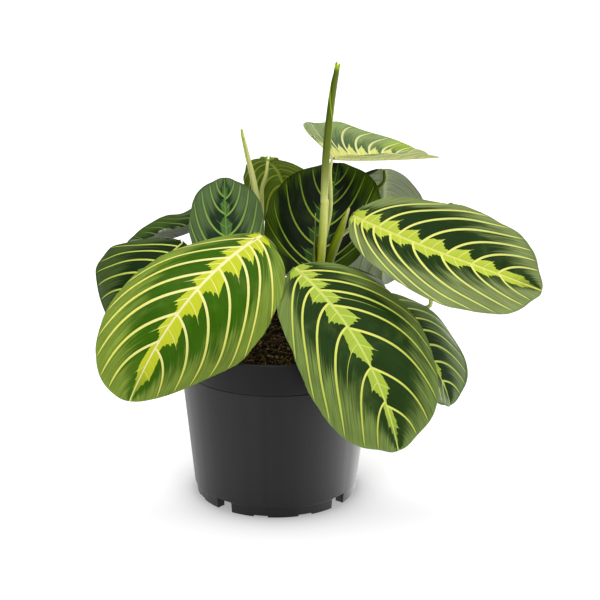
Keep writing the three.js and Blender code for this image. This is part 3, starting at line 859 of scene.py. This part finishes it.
def pointed_sheet(top, under, values):
    """A closed body between two grids whose first and last rows each meet in one point."""
    rows, columns = top.shape[:2]
    inner = rows - 2
    count = inner * columns + 2
    last = count - 1

    def number(row, column):
        if row == 0:
            return 0
        if row == rows - 1:
            return last
        return 1 + (row - 1) * columns + column

    faces = []
    for row in range(rows - 1):
        for column in range(columns - 1):
            corners = [number(row, column), number(row, column + 1)]
            corners += [number(row + 1, column + 1), number(row + 1, column)]
            faces.append(tuple(dict.fromkeys(corners)))
    below = [tuple(corner + count for corner in face[::-1]) for face in faces]
    border = [0] + [number(row, 0) for row in range(1, rows - 1)] + [last]
    border += [number(row, columns - 1) for row in range(rows - 2, 0, -1)]
    walls = border_walls(border, count)
    skins = [0] * len(faces) + [1] * (len(below) + len(walls))

    def packed(grid):
        return np.concatenate([grid[0, :1], grid[1:-1].reshape(-1, 3), grid[-1, :1]])

    points = np.concatenate([packed(top), packed(under)])
    both = {name: np.concatenate([packed(value)] * 2) for name, value in values.items()}
    return Shape(points, faces + below + walls, both, skins)


def make_leaves():
    for seed, (name, given) in enumerate(LEAVES.items()):
        leaf = {**USUAL, **given}
        mesh = mesh_of(name + "_blade", blade_shape(leaf, SEED + 10 * seed))
        materials = blade_materials(name, leaf, seed)
        add_piece(name + "_blade", mesh, materials, name)


# Stalks, culms and sheaths
def smooth_path(knots, spacing):
    """Evenly spaced points on a smooth curve through the knots, with a frame that doesn't twist."""
    knots = np.array(knots, float)
    times = np.concatenate([[0], np.cumsum(np.linalg.norm(np.diff(knots, axis=0), axis=1) ** 0.5)])
    slopes = np.gradient(knots, times, axis=0)
    dense = []
    for index in range(len(knots) - 1):
        gap = times[index + 1] - times[index]
        t = np.linspace(0, 1, 41)[:, None]
        h00 = 2 * t ** 3 - 3 * t ** 2 + 1
        h10 = t ** 3 - 2 * t ** 2 + t
        h01 = 3 * t ** 2 - 2 * t ** 3
        h11 = t ** 3 - t ** 2
        piece = h00 * knots[index] + h10 * gap * slopes[index]
        piece = piece + h01 * knots[index + 1] + h11 * gap * slopes[index + 1]
        dense.append(piece if index == 0 else piece[1:])
    dense = np.concatenate(dense)
    lengths = np.concatenate([[0], np.cumsum(np.linalg.norm(np.diff(dense, axis=0), axis=1))])
    count = max(int(lengths[-1] / spacing), 6) + 1
    even = np.linspace(0, lengths[-1], count)
    centres = np.stack([np.interp(even, lengths, dense[:, axis]) for axis in range(3)], -1)
    tangents = unit(np.gradient(centres, axis=0))
    side = unit(np.cross(tangents[0], vec(0, 1, 0.01)))
    sides = []
    for tangent in tangents:
        side = unit(side - tangent * (side @ tangent))
        sides.append(side)
    sides = np.array(sides)
    return centres, sides, np.cross(tangents, sides), even


def spread(values, count):
    return np.interp(np.linspace(0, 1, count), np.linspace(0, 1, len(values)), values)


def ring_points(centres, sides, backs, radius, angle):
    return (centres[:, None] + (radius * np.cos(angle))[..., None] * sides[:, None]
            + (radius * np.sin(angle))[..., None] * backs[:, None])


def tube(knots, radii, tint, around=18, spacing=1.6):
    """A solid stalk with rounded ends. tint gives its blush, paleness and depth of green."""
    centres, sides, backs, even = smooth_path(knots, spacing)
    count = len(centres)
    radius = spread(radii, count)
    for step, share in enumerate((0.35, 0.8)):
        radius[step] *= share
        radius[-1 - step] *= share
    angle = circle(around)[None, :]
    wave = 1 + 0.04 * np.cos(3 * angle + 0.02 * even[:, None])
    grid = ring_points(centres, sides, backs, radius[:, None] * wave, angle)
    points = np.concatenate([grid.reshape(-1, 3), centres[:1], centres[-1:]])
    values = stalk_values(even, angle, tint, count, around, ends=True)
    return Shape(points, capped_faces(count, around), values)


def stalk_values(even, angle, tint, count, columns, ends=False):
    """What the stalk's material reads: the place along and around it, and its tints."""
    share = even / even[-1]
    run = np.repeat(even, columns)
    turn = np.broadcast_to(angle, (count, columns)).ravel()
    colour = np.stack([np.interp(share, *zip(*curve)) for curve in tint], -1)
    colour = np.repeat(colour, columns, axis=0)
    run = np.stack([run, np.cos(turn), np.sin(turn)], -1)
    if ends:
        run = np.concatenate([run, [[0, 0, 0], [even[-1], 0, 0]]])
        colour = np.concatenate([colour, colour[:1], colour[-1:]])
    return {"run": run, "tint": colour}


def rolled(knots, radii, tint, drop, turn, turns=1.7, lean=0.03, fresh=1.0):
    """A leaf or sheath rolled up along a path, as one thin closed sheet. Its outer turn ends lower, by
    the share in drop, so that its edge shows. fresh is how much young green its tip and its edge have."""
    centres, sides, backs, even = smooth_path(knots, 1.0)
    count = len(centres)
    sheet = np.linspace(0, 1, ROLL_COLUMNS)[None, :]
    rise = np.linspace(0, 1, count)[:, None]
    shorter = 1 - drop * np.clip((sheet - 0.5) / 0.5, 0, 1) ** 1.5 - 0.02 * np.abs(np.sin(5 * sheet))
    place = rise * shorter * (count - 1)
    radius = np.interp(place, np.arange(count), spread(radii, count))
    coil = radius * (ROLL_CORE + (1 - ROLL_CORE) * sheet)
    angle = turn + 2 * math.pi * turns * sheet + lean * place

    def there(line):
        return np.stack([np.interp(place, np.arange(count), line[:, axis]) for axis in range(3)], -1)

    outward = np.cos(angle)[..., None] * there(sides) + np.sin(angle)[..., None] * there(backs)
    grids = []
    for inset in (0.0, ROLL_SHEET):
        depth = np.maximum(coil - inset * np.minimum(1, radius / 1.2), 0.04)
        grids.append(there(centres) + depth[..., None] * outward)
    values = stalk_values(even, angle, tint, count, ROLL_COLUMNS)
    edge = smoothstep(sheet, 0.97, 1.0) * smoothstep(rise, 0.6, 0.9)
    rim = fresh * np.maximum(smoothstep(rise, 0.95, 0.99), edge)
    values["tint"][:, 0] -= rim.ravel() * (1 + values["tint"][:, 0])
    return closed_sheet(*grids, values)


def sheath(knots, radii, tint, wrap, turn):
    """A leaf sheath that clasps a stalk and narrows to a tip."""
    centres, sides, backs, even = smooth_path(knots, 1.0)
    count = len(centres)
    radius = spread(radii, count)[:, None]
    half = np.radians(np.interp(np.linspace(0, 1, count), (0, 0.55, 1), (wrap[0], wrap[0] * 0.85, wrap[1])))
    place = np.linspace(-1, 1, SHEATH_COLUMNS)[None, :]
    angle = turn + half[:, None] * place
    outer = ring_points(centres, sides, backs, radius + SHEATH_SHEET, angle)
    inner = ring_points(centres, sides, backs, radius, angle)
    values = stalk_values(even, angle, tint, count, SHEATH_COLUMNS)
    rim = np.abs(place) + np.zeros((count, 1))
    values["tint"][:, 1] += 0.7 * smoothstep(rim, 0.8, 1.0).ravel()
    return closed_sheet(outer, inner, values)


# Tints along a stalk: blush, paleness and depth, each as places and amounts. A blush below nought is the
# fresh green of a tip.
NO_BLUSH = ((0, 0), (1, 0))
PLAIN = (NO_BLUSH, ((0, 0.1), (1, 0.35)), ((0, 0.7), (1, 0.1)))
PULVINUS = (
    ((0, 0), (0.91, 0), (0.95, 0.8), (1, 0.8)),
    ((0, 0.1), (0.5, 0.45), (1, 0.7)),
    ((0, 0.6), (1, 0.05)))
SHOOT = (
    NO_BLUSH,
    ((0, 0.7), (0.25, 0.5), (0.5, 0.2), (1, 0.1)),
    ((0, 0.05), (0.3, 0.55), (0.5, 0.75), (1, 0.85)))
MINT = (NO_BLUSH, ((0, 0.95), (0.6, 0.85), (1, 0.55)), ((0, 0), (1, 0.12)))
CANE = (
    NO_BLUSH,
    ((0, -0.1), (0.5, -0.05), (0.8, 0.3), (1, 0.5)),
    ((0, 0.4), (0.35, 0.22), (0.6, 0.02), (1, 0)))
SLEEVE = (
    ((0, 0), (0.9, 0), (1, 0.35)),
    ((0, 0), (0.8, 0), (0.93, 0.3), (1, 0.95)),
    ((0, 0.6), (0.4, 0.85), (1, 0.1)))
DULL = (NO_BLUSH, ((0, 0.1), (1, 0)), ((0, 0.7), (1, 0.75)))
LEAFY = (NO_BLUSH, ((0, 0), (1, 0.05)), ((0, 0.5), (0.9, 0.55), (1, 0.1)))


def stalk_material():
    tone = {part: srgb(*colour) for part, colour in STALK_COLOURS.items()}
    s = Shader("stalk_skin")
    run, side, back = s.values("run")
    blush, pale, deep = s.values("tint")
    streak = s.noise(s.vector(side * 5.0, back * 5.0, run * 0.05), detail=3.0)
    spots = s.noise(s.place(), scale=420.0, detail=3.0)
    # Painted light and shade: one side of each stalk paler, as if in light, and the other a deeper green, as
    # if in shade
    painted_light_side = s.step(side * -1.0, -0.1, 0.85)
    colour = s.mix(s.math("ADD", pale, painted_light_side * 0.4, clamp=True), tone["green"], tone["pale"])
    deep = s.math("ADD", deep, s.step(side, 0.2, 1.0) * 0.3, clamp=True)
    colour = s.mix(deep, colour, tone["deep"])
    colour = s.mix(s.math("MULTIPLY", blush, 1.0, clamp=True), colour, tone["blush"])
    colour = s.mix(s.math("MULTIPLY", blush, -1.0, clamp=True), colour, tone["fresh"])
    level = 1.0 + (streak - 0.5) * 0.6 + (spots - 0.5) * 0.18
    height = streak * 0.12 + spots * 0.03
    return s.surface(s.shade(colour, level), 0.42, s.bump(height), through=0.12, specular_ior_level=0.08)


def under_base(leaf, depth, ahead_by=0.0):
    """A point under the blade's base, that far below its keel and that far along its midrib."""
    base, knee, tip, face, left, length = leaf_frame(leaf)
    ahead = unit(knee - base)
    down = unit(face - ahead * (face @ ahead))
    return base + ahead_by * ahead - depth * down


def make_stems(material):
    deep = CAD_BLADE + CAD_KEEL + STALK_GAP
    for name, stem in STEMS.items():
        x, y = stem["foot"]
        parts = [tube([(x, y, z) for z in STEM_HEIGHTS], (CULM, CULM, CULM - 0.3), PLAIN)]
        for culm in stem.get("culms", []):
            parts.append(tube(culm["path"], culm["radii"], CANE, around=24))
        for part in stem.get("sheaths", []):
            parts.append(rolled(part["path"], part["radii"], SLEEVE, 0.1, part["turn"], turns=1.35, fresh=0))
        for part in stem.get("clasps", []):
            tint = MINT if part["pale"] else LEAFY
            turn = math.radians(part["turn"])
            parts.append(sheath(part["path"], part["radii"], tint, wrap=part["wrap"], turn=turn))
        for leaf_name, via in stem["stalks"].items():
            leaf = {**USUAL, **LEAVES[leaf_name]}
            knots = [(x, y, SOIL_CROWN + 1), *via, under_base(leaf, deep + 7), under_base(leaf, deep)]
            knots += [under_base(leaf, 1.7, 3.5), under_base(leaf, 1.2, 9)]
            radii = (STALK_ROOT, 1.8, STALK_TIP + 0.4, STALK_TIP + 0.2, STALK_TIP + 0.25, 0.5)
            parts.append(tube(knots, radii, DULL if "turned" in leaf else PULVINUS))
        mesh = mesh_of(name + "_stalks", joined(parts))
        add_piece(name + "_stalks", mesh, [material], name)


def make_rolled_leaves(material):
    for name, form in ROLLED_LEAVES.items():
        tint = SHOOT if form["dark"] else MINT
        lean = form.get("lean", 0.03)
        shape = rolled(form["path"], form["radii"], tint, form["drop"], form["turn"], lean=lean)
        mesh = mesh_of(name + "_sheet", shape)
        add_piece(name + "_sheet", mesh, [material], name)


# Soil
def outer_radius(z):
    return BASE_RADIUS + (WAIST_RADIUS - BASE_RADIUS) * z / BAND_BOTTOM


def soil_height(x, y):
    out = np.sqrt(x * x + y * y)
    rise = np.interp(out, (0, 36, 57), (SOIL_CROWN, SOIL_CROWN - 0.7, SOIL_EDGE))
    places = np.stack([x, y], -1)
    return rise + 0.5 * wander(places, 9.0, SEED) + 0.3 * wander(places, 3.0, SEED + 1) - 0.4


def soil_level(x, y):
    return float(soil_height(np.array([x]), np.array([y]))[0])


def soil_body():
    floor = POT_FLOOR + POT_WALL + STALK_GAP
    wall = WAIST_RADIUS - POT_WALL - STALK_GAP
    base = outer_radius(floor) - POT_WALL - STALK_GAP
    sides = [(0.01, floor), (base * 0.5, floor), (base, floor), (wall, BAND_BOTTOM), (wall, SOIL_EDGE - 2)]
    angle = circle(SOIL_SIDES)
    grid = [ring(radius, height, angle) for radius, height in sides]
    for radius in np.linspace(wall, 0.01, SOIL_RINGS):
        flat = ring(radius, 0, angle)
        grid.append(ring(radius, soil_height(flat[:, 0], flat[:, 1]), angle))
    ends = [[0, 0, floor], [0, 0, soil_level(0.0, 0.0)]]
    points = np.concatenate([np.array(grid).reshape(-1, 3), ends])
    crumb = np.tile([0.12, 0.5, 0.0], (len(points), 1))
    return Shape(points, capped_faces(len(grid), SOIL_SIDES), {"crumb": crumb})


def ball():
    """The twelve corners and twenty faces of a round crumb before it is made rough."""
    golden = (1 + math.sqrt(5)) / 2
    corners = []
    for a in (-1, 1):
        for b in (-golden, golden):
            corners += [(0, a, b), (a, b, 0), (b, 0, a)]
    corners = unit(np.array(corners, float))
    faces = []
    for i in range(12):
        for j in range(i + 1, 12):
            for k in range(j + 1, 12):
                sides = [np.linalg.norm(corners[p] - corners[q]) for p, q in ((i, j), (j, k), (i, k))]
                if max(sides) < 1.2:
                    normal = np.cross(corners[j] - corners[i], corners[k] - corners[i])
                    faces.append((i, j, k) if normal @ corners[i] > 0 else (i, k, j))
    return corners, faces


def scattered(count, sizes, stretch, tones, chance):
    """Rough lumps strewn over the soil, each with its own size, turn and tone."""
    corners, ball_faces = ball()
    points = []
    faces = []
    tone = []
    for index in range(count):
        size = chance.uniform(*sizes) ** 2
        out = (WAIST_RADIUS - POT_WALL - 2.6) * math.sqrt(chance.uniform())
        angle = chance.uniform(0, 2 * math.pi)
        x = out * math.cos(angle)
        y = out * math.sin(angle)
        z = soil_level(x, y)
        shape = corners * (1 + 0.3 * chance.normal(size=(12, 1)).clip(-1, 1))
        shape = shape * size * np.array([1, chance.uniform(*stretch), chance.uniform(0.5, 0.9)])
        axes, _ = np.linalg.qr(chance.normal(size=(3, 3)))
        axes *= np.sign(np.linalg.det(axes))
        points.append(shape @ axes.T + [x, y, z + size * chance.uniform(-0.1, 0.5)])
        faces += [tuple(corner + 12 * index for corner in face) for face in ball_faces]
        tone += [(chance.uniform(*tones), chance.uniform(), 0.0)] * 12
    return Shape(np.concatenate(points), faces, {"crumb": np.array(tone)})


def fibres(count, chance):
    """Thin roots and coir threads lying on the soil."""
    shapes = []
    for _ in range(count):
        out = (WAIST_RADIUS - 12) * math.sqrt(chance.uniform())
        angle = chance.uniform(0, 2 * math.pi)
        heading = chance.uniform(0, 2 * math.pi)
        length = chance.uniform(3, 11)
        bend = chance.normal(size=2) * 0.8
        knots = []
        for step in np.linspace(-0.5, 0.5, 4):
            x = out * math.cos(angle) + length * step * math.cos(heading) + bend[0] * math.sin(5 * step)
            y = out * math.sin(angle) + length * step * math.sin(heading) + bend[1] * math.cos(6 * step)
            z = soil_level(x, y)
            knots.append((x, y, z + 0.7 + chance.uniform(0, 0.8)))
        width = chance.uniform(0.12, 0.3)
        thread = tube(knots, (width, width, width * 0.5), PLAIN, around=5, spacing=1.2)
        tone = np.tile([chance.uniform(0.3, 0.95), chance.uniform(), 1.0], (len(thread.points), 1))
        shapes.append(Shape(thread.points, thread.faces, {"crumb": tone}))
    return joined(shapes)


def soil_material():
    s = Shader("potting_soil")
    tone, _, _ = s.values("crumb")
    grain = s.noise(s.place(), scale=900.0, detail=5.0, roughness=0.65)
    clods = s.noise(s.place(), scale=130.0, detail=3.0)
    stops = [(place, srgb(*colour)) for place, colour in SOIL_COLOURS]
    colour = s.ramp(tone + (grain - 0.5) * 0.35, stops)
    colour = s.shade(colour, 0.75 + clods * 0.5)
    return s.surface(colour, 0.92, s.bump(grain * 0.5 + clods * 0.3), specular_ior_level=0.25)


def make_soil():
    chance = np.random.default_rng(SEED)
    parts = [soil_body()]
    parts.append(scattered(CRUMBS, (0.65, 1.35), (0.7, 1.2), (0.0, 0.5), chance))
    parts.append(scattered(CHIPS, (0.7, 1.3), (0.4, 0.8), (0.55, 1.0), chance))
    parts.append(fibres(FIBRES, chance))
    mesh = mesh_of("soil_bed", joined(parts))
    add_piece("soil_bed", mesh, [soil_material()], "soil")


# Pot
def rounded(corners, steps=5):
    """A profile through corners (radius, height, rounding), with an arc at each rounded corner."""
    points = []
    for index, (r, z, size) in enumerate(corners):
        here = vec(r, z)
        if size == 0 or index in (0, len(corners) - 1):
            points.append(here)
            continue
        before = unit(vec(*corners[index - 1][:2]) - here)
        after = unit(vec(*corners[index + 1][:2]) - here)
        opening = math.acos(np.clip(before @ after, -1, 1))
        setback = size / math.tan(opening / 2)
        middle = here + unit(before + after) * size / math.sin(opening / 2)
        first = here + before * setback - middle
        last = here + after * setback - middle
        for share in np.linspace(0, 1, steps + 1):
            points.append(middle + size * unit((1 - share) * first + share * last))
    return points


def lathe(profile, sides):
    """A closed body turned about the axis from a profile that starts and ends on it."""
    rings = [ring(r, z, circle(sides)) for r, z in profile[1:-1]]
    ends = [[0, 0, profile[0][1]], [0, 0, profile[-1][1]]]
    points = np.concatenate([np.array(rings).reshape(-1, 3), ends])
    return Shape(points, capped_faces(len(rings), sides), {})


def block(middle, half_angle, inner, outer, bottom, top, steps=8):
    """A piece of a ring between two angles about the axis, measured from the front to the right."""
    angle = np.radians(np.linspace(middle - half_angle, middle + half_angle, steps + 1) - 90)
    corners = [(inner, bottom), (outer, bottom), (outer, top), (inner, top)]
    points = []
    for a in angle:
        points += [(r * math.cos(a), r * math.sin(a), z) for r, z in corners]
    faces = [(0, 1, 2, 3)]
    for step in range(steps):
        for side in range(4):
            a = 4 * step + side
            b = 4 * step + (side + 1) % 4
            faces.append((b, a, a + 4, b + 4))
    end = 4 * steps
    faces.append((end + 3, end + 2, end + 1, end))
    return Shape(points, faces, {})


def peg(radius, x, y, bottom, top, sides=48):
    low_ring = ring(radius, bottom, circle(sides)) + [x, y, 0]
    high_ring = low_ring + [0, 0, top - bottom]
    faces = grid_faces(2, sides, around=True)
    faces.append(tuple(range(sides))[::-1])
    faces.append(tuple(range(sides, 2 * sides)))
    return Shape(np.concatenate([low_ring, high_ring]), faces, {})


def cut(body, tools):
    """The mesh of the body with each tool cut out of it."""
    target = placed("pot_blank", body)
    made = [target]
    for number, tool in enumerate(tools):
        cutter = placed(f"pot_cutter_{number}", mesh_of(f"pot_cutter_{number}", tool))
        made.append(cutter)
        modifier = target.modifiers.new(f"cut_{number}", "BOOLEAN")
        modifier.operation = "DIFFERENCE"
        modifier.solver = "EXACT"
        modifier.object = cutter
    bpy.context.view_layer.update()
    seen = target.evaluated_get(bpy.context.evaluated_depsgraph_get())
    result = bpy.data.meshes.new_from_object(seen)
    for item in made:
        data = item.data
        bpy.data.objects.remove(item)
        bpy.data.meshes.remove(data)
    return result


def with_blocks(name, mesh, blocks):
    """A new mesh with the given one and the blocks that stand in its walls."""
    points = np.array([vertex.co[:] for vertex in mesh.vertices])
    faces = [tuple(face.vertices) for face in mesh.polygons]
    shell = Shape((points - AXIS) / MM, faces, {})
    bpy.data.meshes.remove(mesh)
    return mesh_of(name, joined([shell, *blocks]))


def pot_material():
    s = Shader("pot_plastic")
    x, y, z = s.from_axis()
    turn = s.math("ARCTAN2", y, x)
    streak = s.noise(s.vector(turn * 26.0, z * 9.0, 0.0), detail=4.0, roughness=0.6)
    # Painted reflections: faint upright streaks of lighter and darker sheen. The same noise also varies the
    # roughness.
    sheen = s.noise(s.vector(turn * 7.0, z * 1.2, 3.0))
    cloud = s.noise(s.place(), scale=22.0, detail=3.0)
    grain = s.noise(s.place(), scale=2400.0)
    # Painted highlight along the top of the lip
    lip_highlight = s.step(z, (POT_HEIGHT - 1.0) * MM, (POT_HEIGHT - 0.2) * MM)
    # Painted shadow line just below the rim band's step, and painted highlight line on the band's lower edge
    band_step_shadow = s.math("COMPARE", z, (BAND_BOTTOM - 0.3) * MM, 0.35 * MM)
    band_edge_highlight = s.math("COMPARE", z, (BAND_BOTTOM + 0.45) * MM, 0.3 * MM)
    # The rim band is painted darker for the shade of the leaves above it
    band = s.step(z, BAND_BOTTOM * MM, (BAND_BOTTOM + 0.3) * MM)
    level = 0.86 + (streak * 0.16 + cloud * 0.14)
    level = level + (lip_highlight * LIP_HIGHLIGHT + (band_edge_highlight * BAND_PAINTED_LINES - band_step_shadow * BAND_PAINTED_LINES))
    level = level + (sheen - 0.5) * 0.7
    colour = s.shade(srgb(*POT_GREY), level * (1.0 - band * BAND_PAINTED_SHADE))
    height = grain * 0.02 + streak * 0.06
    roughness = 0.34 + (streak * 0.1 + sheen * 0.16)
    return s.surface(colour, roughness, s.bump(height), specular_ior_level=0.2)


def make_pot():
    floor_top = POT_FLOOR + POT_WALL
    inner_rim = RIM_RADIUS - POT_WALL
    profile = rounded([
        (0, POT_FLOOR, 0),
        (outer_radius(POT_FLOOR) - FOOT_WALL, POT_FLOOR, 1.0),
        (BASE_RADIUS - FOOT_WALL, 0, 0.4),
        (BASE_RADIUS - FOOT_INSET, 0, 0.6),
        (outer_radius(FOOT_TOP) - FOOT_INSET, FOOT_TOP, 0.1),
        (outer_radius(FOOT_TOP), FOOT_TOP + 1.0, 0.8),
        (WAIST_RADIUS, BAND_BOTTOM - GROOVE_HEIGHT, 0.25),
        (WAIST_RADIUS - GROOVE_CUT, BAND_BOTTOM, 0.2),
        (WAIST_RADIUS + BAND_STEP, BAND_BOTTOM, 0.22),
        (RIM_RADIUS, POT_HEIGHT, LIP_ROUND),
        (inner_rim, POT_HEIGHT, LIP_ROUND - 0.05),
        (WAIST_RADIUS - POT_WALL, BAND_BOTTOM, 2.0),
        (outer_radius(floor_top) - POT_WALL, floor_top, 2.0),
        (0, floor_top, 0),
    ])
    tools = []
    ends = []
    inner = BASE_RADIUS - 2 * FOOT_WALL
    outer = BASE_RADIUS + FOOT_WALL
    for foot in range(FEET):
        middle = FOOT_TURN + 360 / FEET * foot
        for side in (-1, 1):
            end = middle + 180 / FEET + side * (NOTCH_ANGLE + FOOT_END_ANGLE) / 2
            edge = BASE_RADIUS - FOOT_INSET - 0.3
            ends.append(block(end, FOOT_END_ANGLE / 2, edge - FOOT_END, edge, 0.3, POT_FLOOR + 0.5))
        tools.append(block(middle + 180 / FEET, NOTCH_ANGLE / 2, inner, outer, -1, NOTCH_HEIGHT))
        for side in (-1, 1):
            recess = middle + side * (RECESS_INNER + RECESS_OUTER) / 2
            tools.append(block(recess, (RECESS_OUTER - RECESS_INNER) / 2, inner, outer, -1, RECESS_DEPTH))
    for hole in range(DRAINS):
        angle = 2 * math.pi * hole / DRAINS
        x = DRAIN_CIRCLE * math.cos(angle)
        y = DRAIN_CIRCLE * math.sin(angle)
        tools.append(peg(DRAIN_RADIUS, x, y, POT_FLOOR - 1, floor_top + 1))
    shell = cut(mesh_of("pot_blank", lathe(profile, POT_SIDES)), tools)
    mesh = with_blocks("pot_shell", shell, ends)
    mesh.polygons.foreach_set("use_smooth", [True] * len(mesh.polygons))
    mesh.set_sharp_from_angle(angle=math.radians(32))
    add_piece("pot_shell", mesh, [pot_material()], "pot")


# Floor, light and camera
def floor_material():
    s = Shader("studio_floor")
    x, y, _ = s.from_axis()
    away = s.math("SQRT", x * x + y * y)
    # Painted shadow: the floor and its glow grow darker towards the pot's foot, and are darkest under it
    past = (away - BASE_RADIUS * MM) * (1 / (FOOT_SHADOW_REACH * MM))
    level = 1.0 - s.math("EXPONENT", s.math("MAXIMUM", past, 0.0) * -1.0) * FOOT_PAINTED_SHADOW
    bearing = s.math("ARCTAN2", x, y * -1.0) * (0.5 / math.pi) + 0.5
    glossy = s.made("ShaderNodeLightPath", {}, "Is Glossy Ray")
    # Painted light: more glow on the floor behind the pot, outside its foot, so that the plant's shadow
    # stays faint there
    behind = s.step(y, *[limit * MM for limit in LIFT_BACK])
    beyond = s.step(away, *[limit * MM for limit in LIFT_AWAY])
    glow = level * (behind * beyond * PAINTED_FLOOR_LIGHT + FLOOR_GLOW)
    # The painted glow that only glossy rays see, by bearing
    glow = glow + s.ramp(bearing, GLOSSY_GLOW_STOPS) * GLOSSY_FLOOR_GLOW * glossy
    return s.surface(
        s.shade(srgb(158, 158, 158), level), 0.9, specular_ior_level=0.0,
        emission_color=(1.0, 1.0, 1.0, 1.0), emission_strength=glow)


def make_floor():
    size = 9.0
    corners = [(-size, -size, 0), (size, -size, 0), (size, size, 0), (-size, size, 0)]
    mesh = bpy.data.meshes.new("studio_floor")
    mesh.from_pydata(corners, [], [(0, 1, 2, 3)])
    mesh.materials.append(floor_material())
    placed("studio_floor", mesh)


def add_sun(name, turn, height, softness, strength, colour=(1, 1, 1)):
    """A wide soft light from a bearing, measured from the front to the right, and a height in degrees."""
    data = bpy.data.lights.new(name, "SUN")
    data.angle = math.radians(softness)
    data.energy = strength
    data.color = colour
    placed(name, data).rotation_euler = (math.radians(90 - height), 0, math.radians(turn))


def make_studio():
    scene = bpy.context.scene
    scene.view_settings.view_transform = "Standard"
    world = bpy.data.worlds.new("studio")
    world.use_nodes = True
    nodes = world.node_tree.nodes
    glow = nodes["Background"]
    glow.inputs[0].default_value = (1.0, 1.0, 1.0, 1.0)
    path = nodes.new("ShaderNodeLightPath")
    level = nodes.new("ShaderNodeMapRange")
    level.inputs["To Min"].default_value = SKY
    level.inputs["To Max"].default_value = BACKDROP
    world.node_tree.links.new(path.outputs["Is Camera Ray"], level.inputs["Value"])
    world.node_tree.links.new(level.outputs[0], glow.inputs[1])
    scene.world = world
    for name, sun in SUNS.items():
        add_sun(name, **sun)


def make_camera():
    data = bpy.data.cameras.new("camera")
    data.lens = CAMERA_LENS
    data.sensor_width = 36.0
    data.clip_end = 50.0
    camera = placed("camera", data)
    camera.location = tuple(vec(*CAMERA_PLACE) * MM + AXIS)
    camera.rotation_euler = (math.radians(90 - CAMERA_PITCH), 0, 0)
    bpy.context.scene.camera = camera


make_leaves()
skin = stalk_material()
make_stems(skin)
make_rolled_leaves(skin)
make_soil()
make_pot()
make_floor()
make_studio()
make_camera()
